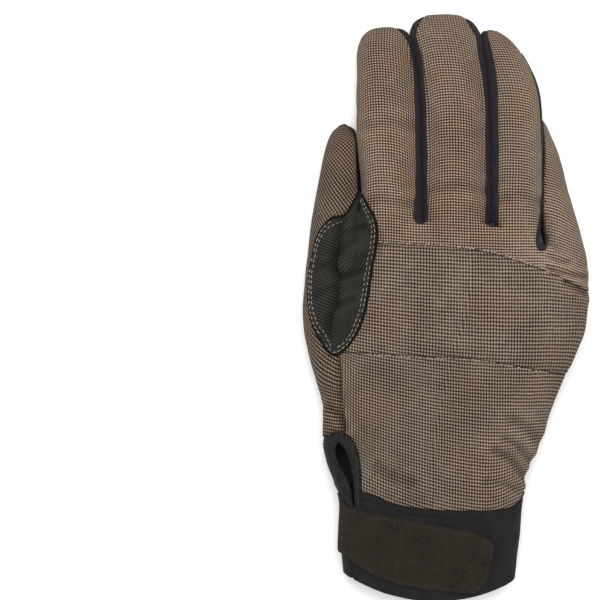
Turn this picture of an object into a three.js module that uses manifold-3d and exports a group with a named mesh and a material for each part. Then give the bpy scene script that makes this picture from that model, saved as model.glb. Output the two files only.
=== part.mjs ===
// A right-hand mechanic glove lying palm down, the back of the hand up.
// Millimetres. +Y runs to the fingertips, +X to the little finger, +Z up from the table.
// The origin lies on the table under the middle of the glove.
import * as THREE from 'three';
import { mergeVertices } from 'three/addons/utils/BufferGeometryUtils.js';
import Module from 'manifold-3d';

const wasm = await Module();
wasm.setup();

// Cloth and seams
const FABRIC = 1.6; // wall of the woven back and of the suede palm
const SEAM_GAP = 0.3; // gap between two panels at a seam
const FINGER_GAP = 0.8; // gap kept where one finger presses on the next
const KNUCKLE_PAD = 1.2; // how far the padded knuckle panel stands proud
const PATCH_LIFT = 1.1; // outer face of a reinforcement patch above the panel
const PATCH_GAP = 0.25; // gap between a patch and the panel that it is sewn on
const BINDING_LIFT = 0.9; // bound edge of the vent above the fabric
const CUFF_OUTER = -0.5; // the elastic cuff sits inside the hem of the fabric
const CUFF_INNER = -2.0;
const STRAP_INNER = -0.2;
const STRAP_OUTER = 1.1;

// Where it rests: patches, thumb and fingertips all meet the table at zero
const PATCHED_FLOOR = PATCH_LIFT; // lowest level of a panel that carries a patch
const BARE_FLOOR = 0; // lowest level of a fingertip without one
const HIGH = 60; // above everything
const LOW = -10; // below everything
const FAR = 200; // beyond everything

const FINGER_SIDES = 14;
const PALM_SIDES = 26;
const SECTION_POWER = 2.35; // superellipse power of a finger's section
const PALM_POWER = 2.5;

const BACK_TAUPE = { color: 0x7a6a5c, roughness: 0.9, metalness: 0 };
const THUMB_TAUPE = { color: 0x6f5e50, roughness: 0.9, metalness: 0 };
const SUEDE = { color: 0x2e2823, roughness: 0.95, metalness: 0 };
const STRETCH_BLACK = { color: 0x1f1d1e, roughness: 0.85, metalness: 0 };
const PATCH_BLACK = { color: 0x2f2d2b, roughness: 0.65, metalness: 0 };
const WEB_BLACK = { color: 0x33322f, roughness: 0.7, metalness: 0 };
const CUFF_BLACK = { color: 0x242122, roughness: 0.9, metalness: 0 };
const STRAP_OLIVE = { color: 0x2e2a26, roughness: 0.95, metalness: 0 };

// Fingers, base to tip. left and right: the side walls. top and sole: the back and the underside.
const INDEX = [
  { y: 22, left: -36.0, right: -10.8, top: 31.0, sole: 1.5 },
  { y: 36, left: -37.6, right: -11.2, top: 30.5, sole: 1.4 },
  { y: 50, left: -38.2, right: -11.6, top: 29.5, sole: 3.5 },
  { y: 68, left: -39.0, right: -11.7, top: 28.5, sole: 5.5 },
  { y: 86, left: -39.4, right: -11.8, top: 26.0, sole: 4.5 },
  { y: 103, left: -39.3, right: -13.0, top: 22.0, sole: 0.5 },
  { y: 112, left: -38.4, right: -14.9, top: 19.0, sole: -0.5 },
  { y: 118.5, left: -35.0, right: -17.0, top: 15.5, sole: 0.3 },
  { y: 122.4, left: -28.8, right: -20.6, top: 10.5, sole: 3.0 },
];
const MIDDLE = [
  { y: 22, left: -10.0, right: 18.0, top: 32.0, sole: 1.5 },
  { y: 36, left: -10.4, right: 18.2, top: 31.0, sole: 1.4 },
  { y: 52, left: -10.8, right: 18.4, top: 30.0, sole: 2.0 },
  { y: 70, left: -10.9, right: 18.5, top: 28.5, sole: 3.5 },
  { y: 92, left: -11.0, right: 17.8, top: 25.5, sole: 2.5 },
  { y: 108, left: -12.9, right: 16.5, top: 22.0, sole: -0.5 },
  { y: 119.5, left: -15.2, right: 15.2, top: 18.0, sole: -1.5 },
  { y: 125.4, left: -12.0, right: 10.6, top: 14.0, sole: 0.3 },
  { y: 128.6, left: -5.5, right: 3.5, top: 9.5, sole: 3.0 },
];
const RING = [
  { y: 20, left: 18.8, right: 41.2, top: 31.0, sole: 1.5 },
  { y: 36, left: 19.1, right: 41.7, top: 30.0, sole: 1.6 },
  { y: 50, left: 19.3, right: 42.2, top: 29.0, sole: 4.5 },
  { y: 66, left: 19.4, right: 42.6, top: 27.5, sole: 6.2 },
  { y: 82, left: 19.2, right: 42.6, top: 25.5, sole: 6.0 },
  { y: 95, left: 18.7, right: 41.2, top: 23.0, sole: 3.5 },
  { y: 107, left: 17.5, right: 36.6, top: 19.5, sole: -0.5 },
  { y: 115.5, left: 16.8, right: 31.0, top: 15.5, sole: 0.0 },
  { y: 120.9, left: 17.6, right: 24.6, top: 10.5, sole: 3.0 },
];
const LITTLE = [
  { y: 6, left: 43.0, right: 62.4, top: 26.0, sole: 1.5 },
  { y: 20, left: 43.4, right: 61.9, top: 24.5, sole: 1.5 },
  { y: 34, left: 41.2, right: 58.9, top: 22.0, sole: 1.5 },
  { y: 49, left: 37.6, right: 54.5, top: 19.0, sole: -0.5 },
  { y: 65, left: 33.6, right: 50.6, top: 17.0, sole: -1.0 },
  { y: 78, left: 31.4, right: 46.8, top: 14.5, sole: -1.0 },
  { y: 84, left: 32.4, right: 43.2, top: 11.5, sole: 0.5 },
  { y: 87.6, left: 35.0, right: 40.0, top: 8.5, sole: 3.0 },
];
// The thumb lies half on its side, so its sections are rolled.
const THUMB_ROLL = THREE.MathUtils.degToRad(-32);
const THUMB = [
  { y: -46, left: -53.0, right: -32.0, top: 26.0, sole: 0.5 },
  { y: -30, left: -58.0, right: -32.0, top: 27.5, sole: 0.5 },
  { y: -12, left: -62.0, right: -33.6, top: 28.0, sole: 0.0 },
  { y: 3, left: -62.3, right: -33.6, top: 27.5, sole: 0.0 },
  { y: 20, left: -60.9, right: -33.0, top: 26.0, sole: 0.0 },
  { y: 33, left: -59.5, right: -33.0, top: 24.5, sole: 0.0 },
  { y: 46, left: -57.3, right: -32.6, top: 22.5, sole: 0.0 },
  { y: 58, left: -55.0, right: -33.0, top: 20.5, sole: 0.3 },
  { y: 69, left: -53.1, right: -34.6, top: 17.5, sole: 1.0 },
  { y: 76, left: -50.6, right: -37.6, top: 13.5, sole: 2.0 },
  { y: 79.4, left: -47.4, right: -42.0, top: 10.0, sole: 4.5 },
];

// The hand, from the cuff mouth to the finger crotches. Each row runs from the thumb side to the
// little finger side. bow: how far its middle runs ahead of a straight line. crotch: the same, but
// only between middle and ring finger. floor: lowest level.
const CREASE_FLOOR = 4.6; // the fold across the palm lifts it off the table here
const HAND = [
  { leftX: -42.4, leftY: -117.0, rightX: 31.0, rightY: -120.5, top: 24.0, sole: -1.0, bow: -9.5 },
  { leftX: -46.4, leftY: -105.0, rightX: 32.8, rightY: -104.0, top: 25.0, sole: -1.0, bow: -8.0 },
  { leftX: -46.2, leftY: -86.0, rightX: 34.4, rightY: -83.5, top: 26.5, sole: -1.0, bow: -6.0 },
  { leftX: -49.4, leftY: -76.5, rightX: 35.2, rightY: -73.0, top: 28.5, sole: -1.0, bow: -4.0 },
  { leftX: -52.4, leftY: -68.0, rightX: 38.6, rightY: -66.0, top: 28.2, sole: -1.5, bow: -2.0 },
  { leftX: -54.0, leftY: -59.0, rightX: 41.6, rightY: -59.0, top: 29.5, sole: -1.5, bow: 0 },
  { leftX: -54.0, leftY: -48.0, rightX: 45.4, rightY: -48.0, top: 30.5, sole: -2.0, bow: 0 },
  { leftX: -54.0, leftY: -34.0, rightX: 51.2, rightY: -34.0, top: 31.5, sole: -2.0, bow: 0 },
  { leftX: -52.0, leftY: -18.0, rightX: 57.2, rightY: -20.0, top: 32.5, sole: -2.0, bow: 0 },
  { leftX: -49.0, leftY: -3.0, rightX: 61.0, rightY: -13.0, top: 33.0, sole: -2.0, bow: -1.5 },
  { leftX: -47.0, leftY: 3.0, rightX: 61.9, rightY: -7.5, top: 33.3, sole: 2.0, bow: -2.0, floor: CREASE_FLOOR },
  { leftX: -45.5, leftY: 9.0, rightX: 62.5, rightY: -1.5, top: 33.5, sole: -2.0, bow: -1.5 },
  { leftX: -43.0, leftY: 21.0, rightX: 62.3, rightY: 7.5, top: 33.3, sole: -1.5, bow: 0, crotch: 1.5 },
  { leftX: -41.0, leftY: 40.0, rightX: 58.6, rightY: 21.0, top: 29.5, sole: 0.0, bow: 0, crotch: 8.0 },
];
const CROTCH_PLACE = 0.58; // where along a row its crotch stands out most, and how wide it is
const CROTCH_WIDTH = 0.26;

// Seam lines seen from above, thumb side to little finger side
const UPPER_KNUCKLE_SEAM = [
  { x: -80, y: 27.6 }, { x: -30.6, y: 26.8 }, { x: 3.1, y: 24.9 }, { x: 19.8, y: 22.2 },
  { x: 32.6, y: 18.3 }, { x: 45.3, y: 13.4 }, { x: 80, y: -2.0 },
];
const LOWER_KNUCKLE_SEAM = [
  { x: -80, y: -19.5 }, { x: -38.3, y: -20.5 }, { x: -5.3, y: -22.2 }, { x: 7.5, y: -22.7 },
  { x: 19.8, y: -24.4 }, { x: 43.6, y: -28.8 }, { x: 80, y: -35.0 },
];
const HEM = [
  { x: -80, y: -79.0 }, { x: -37.4, y: -82.5 }, { x: -20.5, y: -87.8 }, { x: 0.9, y: -90.0 },
  { x: 25.5, y: -88.7 }, { x: 34.5, y: -82.5 }, { x: 80, y: -79.0 },
];
// Seam lines that run along the hand, wrist to fingertips
const THUMB_SEAM = [
  { x: -44.7, y: -100 }, { x: -44.7, y: -55.7 }, { x: -46.6, y: -32.8 }, { x: -49.3, y: -19.0 },
  { x: -46.6, y: 1.5 }, { x: -46.6, y: 17.8 }, { x: -43.2, y: 40.0 }, { x: -40.2, y: 48.0 },
];
const PALM_SEAM = [
  { x: -14.0, y: -100 }, { x: -19.8, y: -84.3 }, { x: -27.3, y: -65.3 }, { x: -37.8, y: -32.8 },
  { x: -41.4, y: -8.1 }, { x: -43.3, y: 19.1 }, { x: -46.2, y: 42.0 }, { x: -45.5, y: 66.0 },
  { x: -40.5, y: 84.0 }, { x: -60.0, y: 90.0 }, { x: -60.0, y: 140.0 },
];
const THUMB_CROTCH = 40; // the thumb is free of the hand beyond this
const LITTLE_CROTCH = 31; // and the little finger of the ring finger
// Height of the seam between back and palm, along the outer sides of the hand
const SIDE_SEAM = [
  { y: -140, z: 9.0 }, { y: 30, z: 9.5 }, { y: 70, z: 11.0 }, { y: 84, z: 10.5 }, { y: 102, z: 7.5 },
  { y: 140, z: 6.0 },
];

// Its height between two fingers
const INNER_SEAM = [
  { y: -140, z: 12.5 }, { y: 94, z: 12.5 }, { y: 106, z: 10.5 }, { y: 118, z: 8.5 }, { y: 140, z: 6.0 },
];
const INNER_REACH = 4; // how far beside a side strip that height holds

// Side strips between the fingers. left and right: where the woven backs of the two fingers end.
const STRIP_INDEX_MIDDLE = [
  { y: 35.4, left: -12.6, right: -10.2 }, { y: 40, left: -13.4, right: -9.4 },
  { y: 60, left: -13.6, right: -7.4 }, { y: 92, left: -13.6, right: -9.0 },
  { y: 108, left: -15.2, right: -10.4 }, { y: 116, left: -16.4, right: -13.0 },
  { y: 122, left: -20.0, right: -12.6 }, { y: 132, left: -20.0, right: -8.0 },
];
const STRIP_MIDDLE_RING = [
  { y: 34.6, left: 17.6, right: 20.0 }, { y: 40, left: 16.8, right: 21.6 },
  { y: 60, left: 17.0, right: 22.6 }, { y: 95, left: 16.2, right: 21.8 },
  { y: 110, left: 14.4, right: 19.6 }, { y: 118, left: 13.6, right: 18.2 },
  { y: 124, left: 10.4, right: 18.2 }, { y: 132, left: 8.0, right: 18.2 },
];
const STRIP_RING_LITTLE = [
  { y: 21.6, left: 41.0, right: 43.8 }, { y: 26, left: 39.4, right: 43.4 },
  { y: 32, left: 40.2, right: 42.1 }, { y: 60, left: 40.6, right: 42.8 },
  { y: 84, left: 40.8, right: 42.8 }, { y: 94, left: 39.0, right: 43.0 },
];

// Outlines of patches seen from above, as points that a smooth closed curve runs through
const UPPER_PATCH = [
  { x: -28.6, y: 8.0 }, { x: -30.4, y: 28.0 }, { x: -29.6, y: 46.5 }, { x: -24.5, y: 48.6 },
  { x: -19.4, y: 46.0 }, { x: -18.8, y: 37.0 }, { x: -12.3, y: 31.0 }, { x: -5.0, y: 34.8 },
  { x: -2.2, y: 46.0 }, { x: 1.4, y: 53.0 }, { x: 7.3, y: 54.4 }, { x: 12.0, y: 51.0 },
  { x: 11.6, y: 37.5 }, { x: 17.5, y: 30.4 }, { x: 21.0, y: 34.0 }, { x: 20.4, y: 43.5 },
  { x: 25.0, y: 47.6 }, { x: 32.6, y: 46.0 }, { x: 33.2, y: 37.5 }, { x: 32.6, y: 26.0 },
  { x: 39.0, y: 18.7 }, { x: 44.6, y: 26.0 }, { x: 48.2, y: 34.8 }, { x: 54.4, y: 37.4 },
  { x: 58.0, y: 31.0 }, { x: 60.0, y: 17.0 }, { x: 59.6, y: 1.5 }, { x: 52.0, y: -3.2 },
  { x: 34.8, y: -5.2 }, { x: 14.7, y: -1.4 }, { x: -5.0, y: 2.6 },
];
const LOWER_PATCH = [
  { x: -23.6, y: -5.6 }, { x: -16.0, y: 0.6 }, { x: -6.0, y: -3.2 }, { x: 12.0, y: -9.2 },
  { x: 36.0, y: -11.0 }, { x: 57.0, y: -11.6 }, { x: 56.4, y: -22.0 }, { x: 48.6, y: -44.0 },
  { x: 42.0, y: -64.0 }, { x: 34.0, y: -71.6 }, { x: 28.0, y: -67.0 }, { x: 21.6, y: -49.0 },
  { x: 14.6, y: -30.6 }, { x: 8.4, y: -25.8 }, { x: 2.0, y: -30.0 }, { x: 2.4, y: -39.0 },
  { x: 5.8, y: -54.0 }, { x: 0.6, y: -63.0 }, { x: -9.4, y: -56.4 }, { x: -18.6, y: -40.6 },
  { x: -22.4, y: -20.0 },
];
const INDEX_TIP_PATCH = [
  { x: -35.4, y: 88.0 }, { x: -36.6, y: 104.0 }, { x: -33.6, y: 113.0 }, { x: -26.6, y: 117.6 },
  { x: -19.4, y: 114.4 }, { x: -16.2, y: 104.0 }, { x: -15.4, y: 90.0 }, { x: -25.0, y: 84.4 },
];
const THUMB_TIP_PATCH = [
  { x: -45.0, y: 36.0 }, { x: -45.6, y: 54.0 }, { x: -45.0, y: 68.0 }, { x: -41.6, y: 73.0 },
  { x: -37.4, y: 67.0 }, { x: -34.8, y: 54.0 }, { x: -34.6, y: 40.0 }, { x: -39.0, y: 35.0 },
];
const WEB_PATCH = [
  { x: -36.0, y: 46.0 }, { x: -31.4, y: 38.6 }, { x: -30.4, y: 30.0 }, { x: -32.6, y: 15.0 },
  { x: -35.4, y: -2.0 }, { x: -40.4, y: -14.4 }, { x: -49.3, y: -22.0 }, { x: -56.6, y: -13.4 },
  { x: -60.0, y: -1.0 }, { x: -60.1, y: 13.0 }, { x: -58.0, y: 26.4 }, { x: -53.0, y: 36.6 },
  { x: -44.0, y: 40.6 },
];
const WEB_POINTS = 24; // points that its outline is sampled at
const WEB_PATCH_LOWEST = 12; // it stays on the upper side of thumb and hand

// Keyhole vent at the wrist: its bound edge and the opening, seen from above
const VENT_LOWEST = 10.5; // below this the fabric runs on under the vent
const VENT_OUTER = [
  { x: -60.0, y: -53.6 }, { x: -47.5, y: -53.4 }, { x: -41.6, y: -59.0 }, { x: -38.4, y: -66.0 },
  { x: -37.2, y: -76.0 }, { x: -37.2, y: -90.6 }, { x: -42.8, y: -90.6 }, { x: -47.4, y: -82.4 },
  { x: -60.0, y: -82.0 },
];
const VENT_HOLE = [
  { x: -48.6, y: -58.6 }, { x: -45.0, y: -62.4 }, { x: -41.6, y: -70.0 }, { x: -40.4, y: -79.0 },
  { x: -40.4, y: -96.0 }, { x: -43.0, y: -96.0 }, { x: -45.4, y: -80.0 }, { x: -49.4, y: -70.0 },
];
const CUFF_SPLIT = [
  { x: -40.2, y: -80 }, { x: -40.2, y: -104 }, { x: -40.8, y: -140 }, { x: -44.4, y: -140 },
  { x: -43.6, y: -104 }, { x: -43.2, y: -80 },
];

// Strap: its end lies over the back of the cuff, it folds round the thumb side and is sewn below
const STRAP_TURN = 12; // height where its upper and lower halves meet
const STRAP_OVER = [
  { x: -60.0, y: -84.6 }, { x: -45.8, y: -85.0 }, { x: -40.0, y: -89.2 }, { x: -31.9, y: -89.4 },
  { x: -23.8, y: -93.0 }, { x: 0.9, y: -97.3 }, { x: 13.0, y: -98.6 }, { x: 18.6, y: -101.6 },
  { x: 20.4, y: -106.0 }, { x: 19.4, y: -112.0 }, { x: 17.2, y: -120.3 }, { x: 13.6, y: -124.4 },
  { x: 8.0, y: -125.2 }, { x: -11.4, y: -123.4 }, { x: -27.3, y: -118.9 }, { x: -41.4, y: -112.6 },
  { x: -60.0, y: -111.0 },
];
const STRAP_UNDER = [
  { x: -60.0, y: -84.6 }, { x: -44.0, y: -86.0 }, { x: -33.0, y: -88.0 }, { x: -29.6, y: -91.4 },
  { x: -29.6, y: -110.0 }, { x: -33.0, y: -114.4 }, { x: -60.0, y: -111.0 },
];

function solidOf(geometry) {
  // Turns a closed geometry into a solid that can be joined and cut.
  const bare = geometry.clone();
  bare.deleteAttribute('normal');
  bare.deleteAttribute('uv');
  const merged = mergeVertices(bare, 1e-5);
  const vertProperties = new Float32Array(merged.attributes.position.array);
  const triVerts = new Uint32Array(merged.index.array);
  return new wasm.Manifold(new wasm.Mesh({ numProp: 3, vertProperties, triVerts }));
}

function loft(rings) {
  // Closed solid through rings of equal length, each given from +X over +Z, base ring first.
  const sides = rings[0].length;
  const position = rings.flat().flatMap((point) => [point.x, point.y, point.z]);
  const index = [];
  for (let ring = 0; ring < rings.length - 1; ring += 1) {
    for (let side = 0; side < sides; side += 1) {
      const next = (side + 1) % sides;
      const a = ring * sides + side;
      const b = ring * sides + next;
      index.push(a, b + sides, b, a, a + sides, b + sides);
    }
  }
  // Each end is closed by a ladder between the upper and the lower half of its ring.
  for (let side = 0; side < sides / 2; side += 1) {
    const base = [side, side + 1, sides - side - 1, (sides - side) % sides];
    const tip = base.map((corner) => corner + (rings.length - 1) * sides);
    if (side < sides / 2 - 1) {
      index.push(base[0], base[1], base[2]);
      index.push(tip[2], tip[1], tip[0]);
    }
    if (side > 0) {
      index.push(base[0], base[2], base[3]);
      index.push(tip[3], tip[2], tip[0]);
    }
  }
  const geometry = new THREE.BufferGeometry();
  geometry.setAttribute('position', new THREE.Float32BufferAttribute(position, 3));
  geometry.setIndex(index);
  return solidOf(geometry);
}

function roundness(angle, power) {
  // Point of the unit superellipse at an angle.
  const across = Math.sign(Math.cos(angle)) * Math.abs(Math.cos(angle)) ** (2 / power);
  const up = Math.sign(Math.sin(angle)) * Math.abs(Math.sin(angle)) ** (2 / power);
  return { across, up };
}

function finger(rows, grow, floor, roll = 0) {
  // Tube of a finger, grown by grow all round, flattened at the floor.
  const widest = Math.max(...rows.map((row) => row.right - row.left));
  const rings = rows.map((row, place) => {
    const half = Math.max((row.right - row.left) / 2 + grow, 0.6);
    const tall = Math.max((row.top - row.sole) / 2 + grow, 0.6);
    const nearTip = place > rows.length / 2 ? 1 - (row.right - row.left) / widest : 0;
    const lean = Math.hypot(Math.cos(roll), Math.sin(roll) * tall / half);
    return Array.from({ length: FINGER_SIDES }, (_, side) => {
      const { across, up } = roundness((side / FINGER_SIDES) * 2 * Math.PI, SECTION_POWER);
      const u = (across * half) / lean;
      const v = up * tall;
      const z = (row.top + row.sole) / 2 + u * Math.sin(roll) + v * Math.cos(roll);
      return new THREE.Vector3(
        (row.left + row.right) / 2 + u * Math.cos(roll) - v * Math.sin(roll),
        row.y + grow * nearTip,
        Math.max(z, floor - grow),
      );
    });
  });
  return loft(rings);
}

function hand(grow) {
  // Body of the hand with the wrist and the cuff, grown by grow, open past the cuff mouth if shrunk.
  const last = HAND.length - 1;
  const rings = HAND.map((row, place) => {
    const tall = (row.top - row.sole) / 2 + grow;
    const floor = (row.floor ?? PATCHED_FLOOR) - grow;
    const endShift = place === 0 ? Math.min(grow * 3, 0) : place === last ? grow : 0;
    return Array.from({ length: PALM_SIDES }, (_, side) => {
      const { across, up } = roundness((side / PALM_SIDES) * 2 * Math.PI, PALM_POWER);
      const share = (across + 1) / 2;
      const crotch = (row.crotch ?? 0) * Math.exp(-(((share - CROTCH_PLACE) / CROTCH_WIDTH) ** 2));
      const ahead = row.bow * 4 * share * (1 - share) + crotch;
      return new THREE.Vector3(
        THREE.MathUtils.lerp(row.leftX, row.rightX, share) + grow * across,
        THREE.MathUtils.lerp(row.leftY, row.rightY, share) + ahead + endShift,
        Math.max((row.top + row.sole) / 2 + tall * up, floor),
      );
    });
  });
  return loft(rings);
}

function thumbTube(grow) {
  return finger(THUMB, grow, PATCHED_FLOOR, THUMB_ROLL);
}

function gloveForm(grow) {
  // The whole glove as one body: the little finger and the thumb press against their neighbours.
  const index = finger(INDEX, grow, PATCHED_FLOOR);
  const middle = finger(MIDDLE, grow, BARE_FLOOR);
  const ring = finger(RING, grow, BARE_FLOOR);
  const little = finger(LITTLE, grow, BARE_FLOOR)
    .subtract(finger(RING, FINGER_GAP - grow, BARE_FLOOR));
  const thumb = thumbTube(grow).subtract(finger(INDEX, FINGER_GAP - grow, PATCHED_FLOOR));
  return hand(grow).add(index).add(middle).add(ring).add(little).add(thumb);
}

function extrudePolygon(points, depth) {
  const shape = new THREE.Shape(points.map((point) => new THREE.Vector2(point.x, point.y)));
  return new THREE.ExtrudeGeometry(shape, { depth, bevelEnabled: false, curveSegments: 1 });
}

function prism(points, low = LOW, high = HIGH) {
  // Upright block over an outline seen from above.
  const geometry = extrudePolygon(points, high - low);
  geometry.translate(0, 0, low);
  return solidOf(geometry);
}

function smoothOutline(points, count) {
  const curve = new THREE.SplineCurve([...points, points[0]].map((p) => new THREE.Vector2(p.x, p.y)));
  return curve.getSpacedPoints(count).slice(0, -1);
}

function beyond(line, shift) {
  // Block on the fingertip side of a line that runs from the thumb side to the little finger side.
  const edge = line.map((point) => ({ x: point.x, y: point.y + shift }));
  return prism([...edge, { x: FAR, y: edge.at(-1).y }, { x: FAR, y: FAR }, { x: -FAR, y: FAR },
    { x: -FAR, y: edge[0].y }]);
}

function rightOf(line, shift, low = LOW, high = HIGH) {
  // Block on the little finger side of a line that runs from the wrist to the fingertips.
  const edge = line.map((point) => ({ x: point.x + shift, y: point.y }));
  return prism([{ x: edge[0].x, y: -FAR }, { x: FAR, y: -FAR }, { x: FAR, y: FAR },
    { x: edge.at(-1).x, y: FAR }, ...edge.toReversed()], low, high);
}

function below(seam, shift) {
  // Block under a seam between back and palm.
  const points = seam.map((row) => ({ x: row.y, y: row.z + shift }));
  points.push({ x: seam.at(-1).y, y: LOW }, { x: seam[0].y, y: LOW });
  const geometry = extrudePolygon(points, 2 * FAR);
  // Stands the outline up across the glove: its x becomes y and its y becomes z.
  geometry.applyMatrix4(new THREE.Matrix4().set(0, 0, 1, -FAR, 1, 0, 0, 0, 0, 1, 0, 0, 0, 0, 0, 1));
  return solidOf(geometry);
}

function strip(rows, widen) {
  // Upright block between two fingers.
  const left = rows.map((row) => ({ x: row.left - widen, y: row.y }));
  const right = rows.map((row) => ({ x: row.right + widen, y: row.y }));
  left[0].y -= widen;
  right[0].y -= widen;
  return prism([...left.toReversed(), ...right]);
}

function ringStrip(widen) {
  // The strip between ring and little finger. Ahead of the crotch it keeps to the ring finger,
  // because the little finger lies partly under it.
  const far = LITTLE_CROTCH + widen;
  const crotch = prism([{ x: 0, y: 0 }, { x: FAR, y: 0 }, { x: FAR, y: far }, { x: 0, y: far }]);
  const ring = finger(RING, FINGER_GAP / 2 + widen / 2, BARE_FLOOR);
  return strip(STRIP_RING_LITTLE, widen).intersect(ring.add(crotch));
}

function strips(widen) {
  return strip(STRIP_INDEX_MIDDLE, widen).add(strip(STRIP_MIDDLE_RING, widen)).add(ringStrip(widen));
}

function besideStrips(shift) {
  // Between two fingers the suede reaches a little higher than on the outer sides.
  return strips(INNER_REACH + shift).intersect(below(INNER_SEAM, shift));
}

function widened(points, by) {
  // An outline moved outwards by a distance, point by point, away from its middle.
  const middle = points.reduce((sum, p) => ({ x: sum.x + p.x, y: sum.y + p.y }), { x: 0, y: 0 });
  middle.x /= points.length;
  middle.y /= points.length;
  return points.map((p) => {
    const reach = Math.hypot(p.x - middle.x, p.y - middle.y);
    return { x: p.x + (by * (p.x - middle.x)) / reach, y: p.y + (by * (p.y - middle.y)) / reach };
  });
}

function layer(inner, outer) {
  // What lies between two grown forms of the glove.
  return gloveForm(outer).subtract(gloveForm(inner));
}

function patch(skin, outline, count, low, high) {
  return skin.intersect(prism(smoothOutline(outline, count), low, high));
}

// Cutters that more than one piece uses
const half = SEAM_GAP / 2;
const allStrips = strips(half);
const palmSide = below(SIDE_SEAM, -half).intersect(rightOf(PALM_SEAM, half)).add(besideStrips(-half));
const palmSideWide = below(SIDE_SEAM, half).intersect(rightOf(PALM_SEAM, -half)).add(besideStrips(half));
const ventWide = prism(widened(VENT_OUTER, SEAM_GAP), VENT_LOWEST - SEAM_GAP, HIGH);
const shell = layer(-FABRIC, 0);
const handShell = shell.intersect(beyond(HEM, half));

function makeSideStrip(block) {
  return shell.intersect(block);
}

function makePalm() {
  return handShell.intersect(palmSide).subtract(allStrips);
}

const back = handShell.subtract(palmSideWide).subtract(allStrips).subtract(ventWide);
const backFromTips = beyond(UPPER_KNUCKLE_SEAM, half);
const backFromKnuckles = beyond(LOWER_KNUCKLE_SEAM, half);
// The free thumb passes under the index finger, so there its own tube tells them apart.
const thumbEnd = thumbTube(FINGER_GAP / 2).subtract(finger(INDEX, FINGER_GAP / 2, PATCHED_FLOOR))
  .intersect(beyond([{ x: -FAR, y: THUMB_CROTCH }, { x: FAR, y: THUMB_CROTCH }], 0));

function handSide(shift) {
  // Everything that belongs to the hand and not to the thumb.
  return rightOf(THUMB_SEAM, shift).subtract(below(SIDE_SEAM, half)
    .intersect(prism([{ x: -FAR, y: -FAR }, { x: 0, y: -FAR }, { x: 0, y: 36 }, { x: -FAR, y: 36 }])));
}

const handBackAll = back.intersect(handSide(half)).subtract(thumbEnd);

function makeFingerBack() {
  return handBackAll.intersect(backFromTips);
}

function makeKnuckle() {
  // The padding stops where the web patch lies on the panel.
  const underWeb = prism(widened(smoothOutline(WEB_PATCH, WEB_POINTS), SEAM_GAP)).subtract(gloveForm(0));
  const padded = layer(-FABRIC, KNUCKLE_PAD).subtract(underWeb).intersect(handSide(half));
  return padded.subtract(palmSideWide).subtract(beyond(UPPER_KNUCKLE_SEAM, -half))
    .intersect(backFromKnuckles);
}

function makeHandBack() {
  return handBackAll.subtract(beyond(LOWER_KNUCKLE_SEAM, -half));
}

function makeThumbBack() {
  return back.subtract(handSide(-half).subtract(thumbEnd));
}

function makeUpperPatch() {
  return patch(layer(PATCH_GAP, PATCH_LIFT), UPPER_PATCH, 42, LOW, SIDE_SEAM[0].z);
}

function makeLowerPatch() {
  return patch(layer(PATCH_GAP, PATCH_LIFT), LOWER_PATCH, 34, LOW, SIDE_SEAM[0].z);
}

function makeIndexTipPatch() {
  const skin = finger(INDEX, PATCH_LIFT, PATCHED_FLOOR).subtract(finger(INDEX, PATCH_GAP, PATCHED_FLOOR));
  return patch(skin, INDEX_TIP_PATCH, 16, LOW, SIDE_SEAM[0].z);
}

function makeThumbTipPatch() {
  const skin = thumbTube(PATCH_LIFT).subtract(thumbTube(PATCH_GAP));
  return patch(skin, THUMB_TIP_PATCH, 16, LOW, SIDE_SEAM[0].z);
}

function makeWebPatch() {
  const over = layer(PATCH_GAP, PATCH_LIFT);
  return patch(over, WEB_PATCH, WEB_POINTS, WEB_PATCH_LOWEST, HIGH);
}

function makeVentBinding() {
  const rim = prism(VENT_OUTER, VENT_LOWEST, HIGH).subtract(prism(VENT_HOLE));
  return layer(-FABRIC, BINDING_LIFT).intersect(rim);
}

function makeCuff() {
  const wall = hand(CUFF_OUTER).subtract(hand(CUFF_INNER)).subtract(beyond(HEM, -half));
  return wall.subtract(ventWide).subtract(prism(CUFF_SPLIT, STRAP_TURN, HIGH));
}

function makeStrap() {
  const over = prism(STRAP_OVER, STRAP_TURN, HIGH);
  const under = prism(STRAP_UNDER, LOW, STRAP_TURN + 0.01);
  const wall = hand(STRAP_OUTER).subtract(hand(STRAP_INNER));
  return wall.intersect(over.add(under)).subtract(ventWide).subtract(beyond(HEM, -SEAM_GAP));
}

function meshOf(name, solid, finish) {
  const { vertProperties, triVerts } = solid.getMesh();
  const geometry = new THREE.BufferGeometry();
  geometry.setAttribute('position', new THREE.BufferAttribute(new Float32Array(vertProperties), 3));
  geometry.setIndex(new THREE.BufferAttribute(new Uint32Array(triVerts), 1));
  geometry.computeVertexNormals();
  const mesh = new THREE.Mesh(geometry, new THREE.MeshStandardMaterial(finish));
  mesh.name = name;
  return mesh;
}

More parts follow.
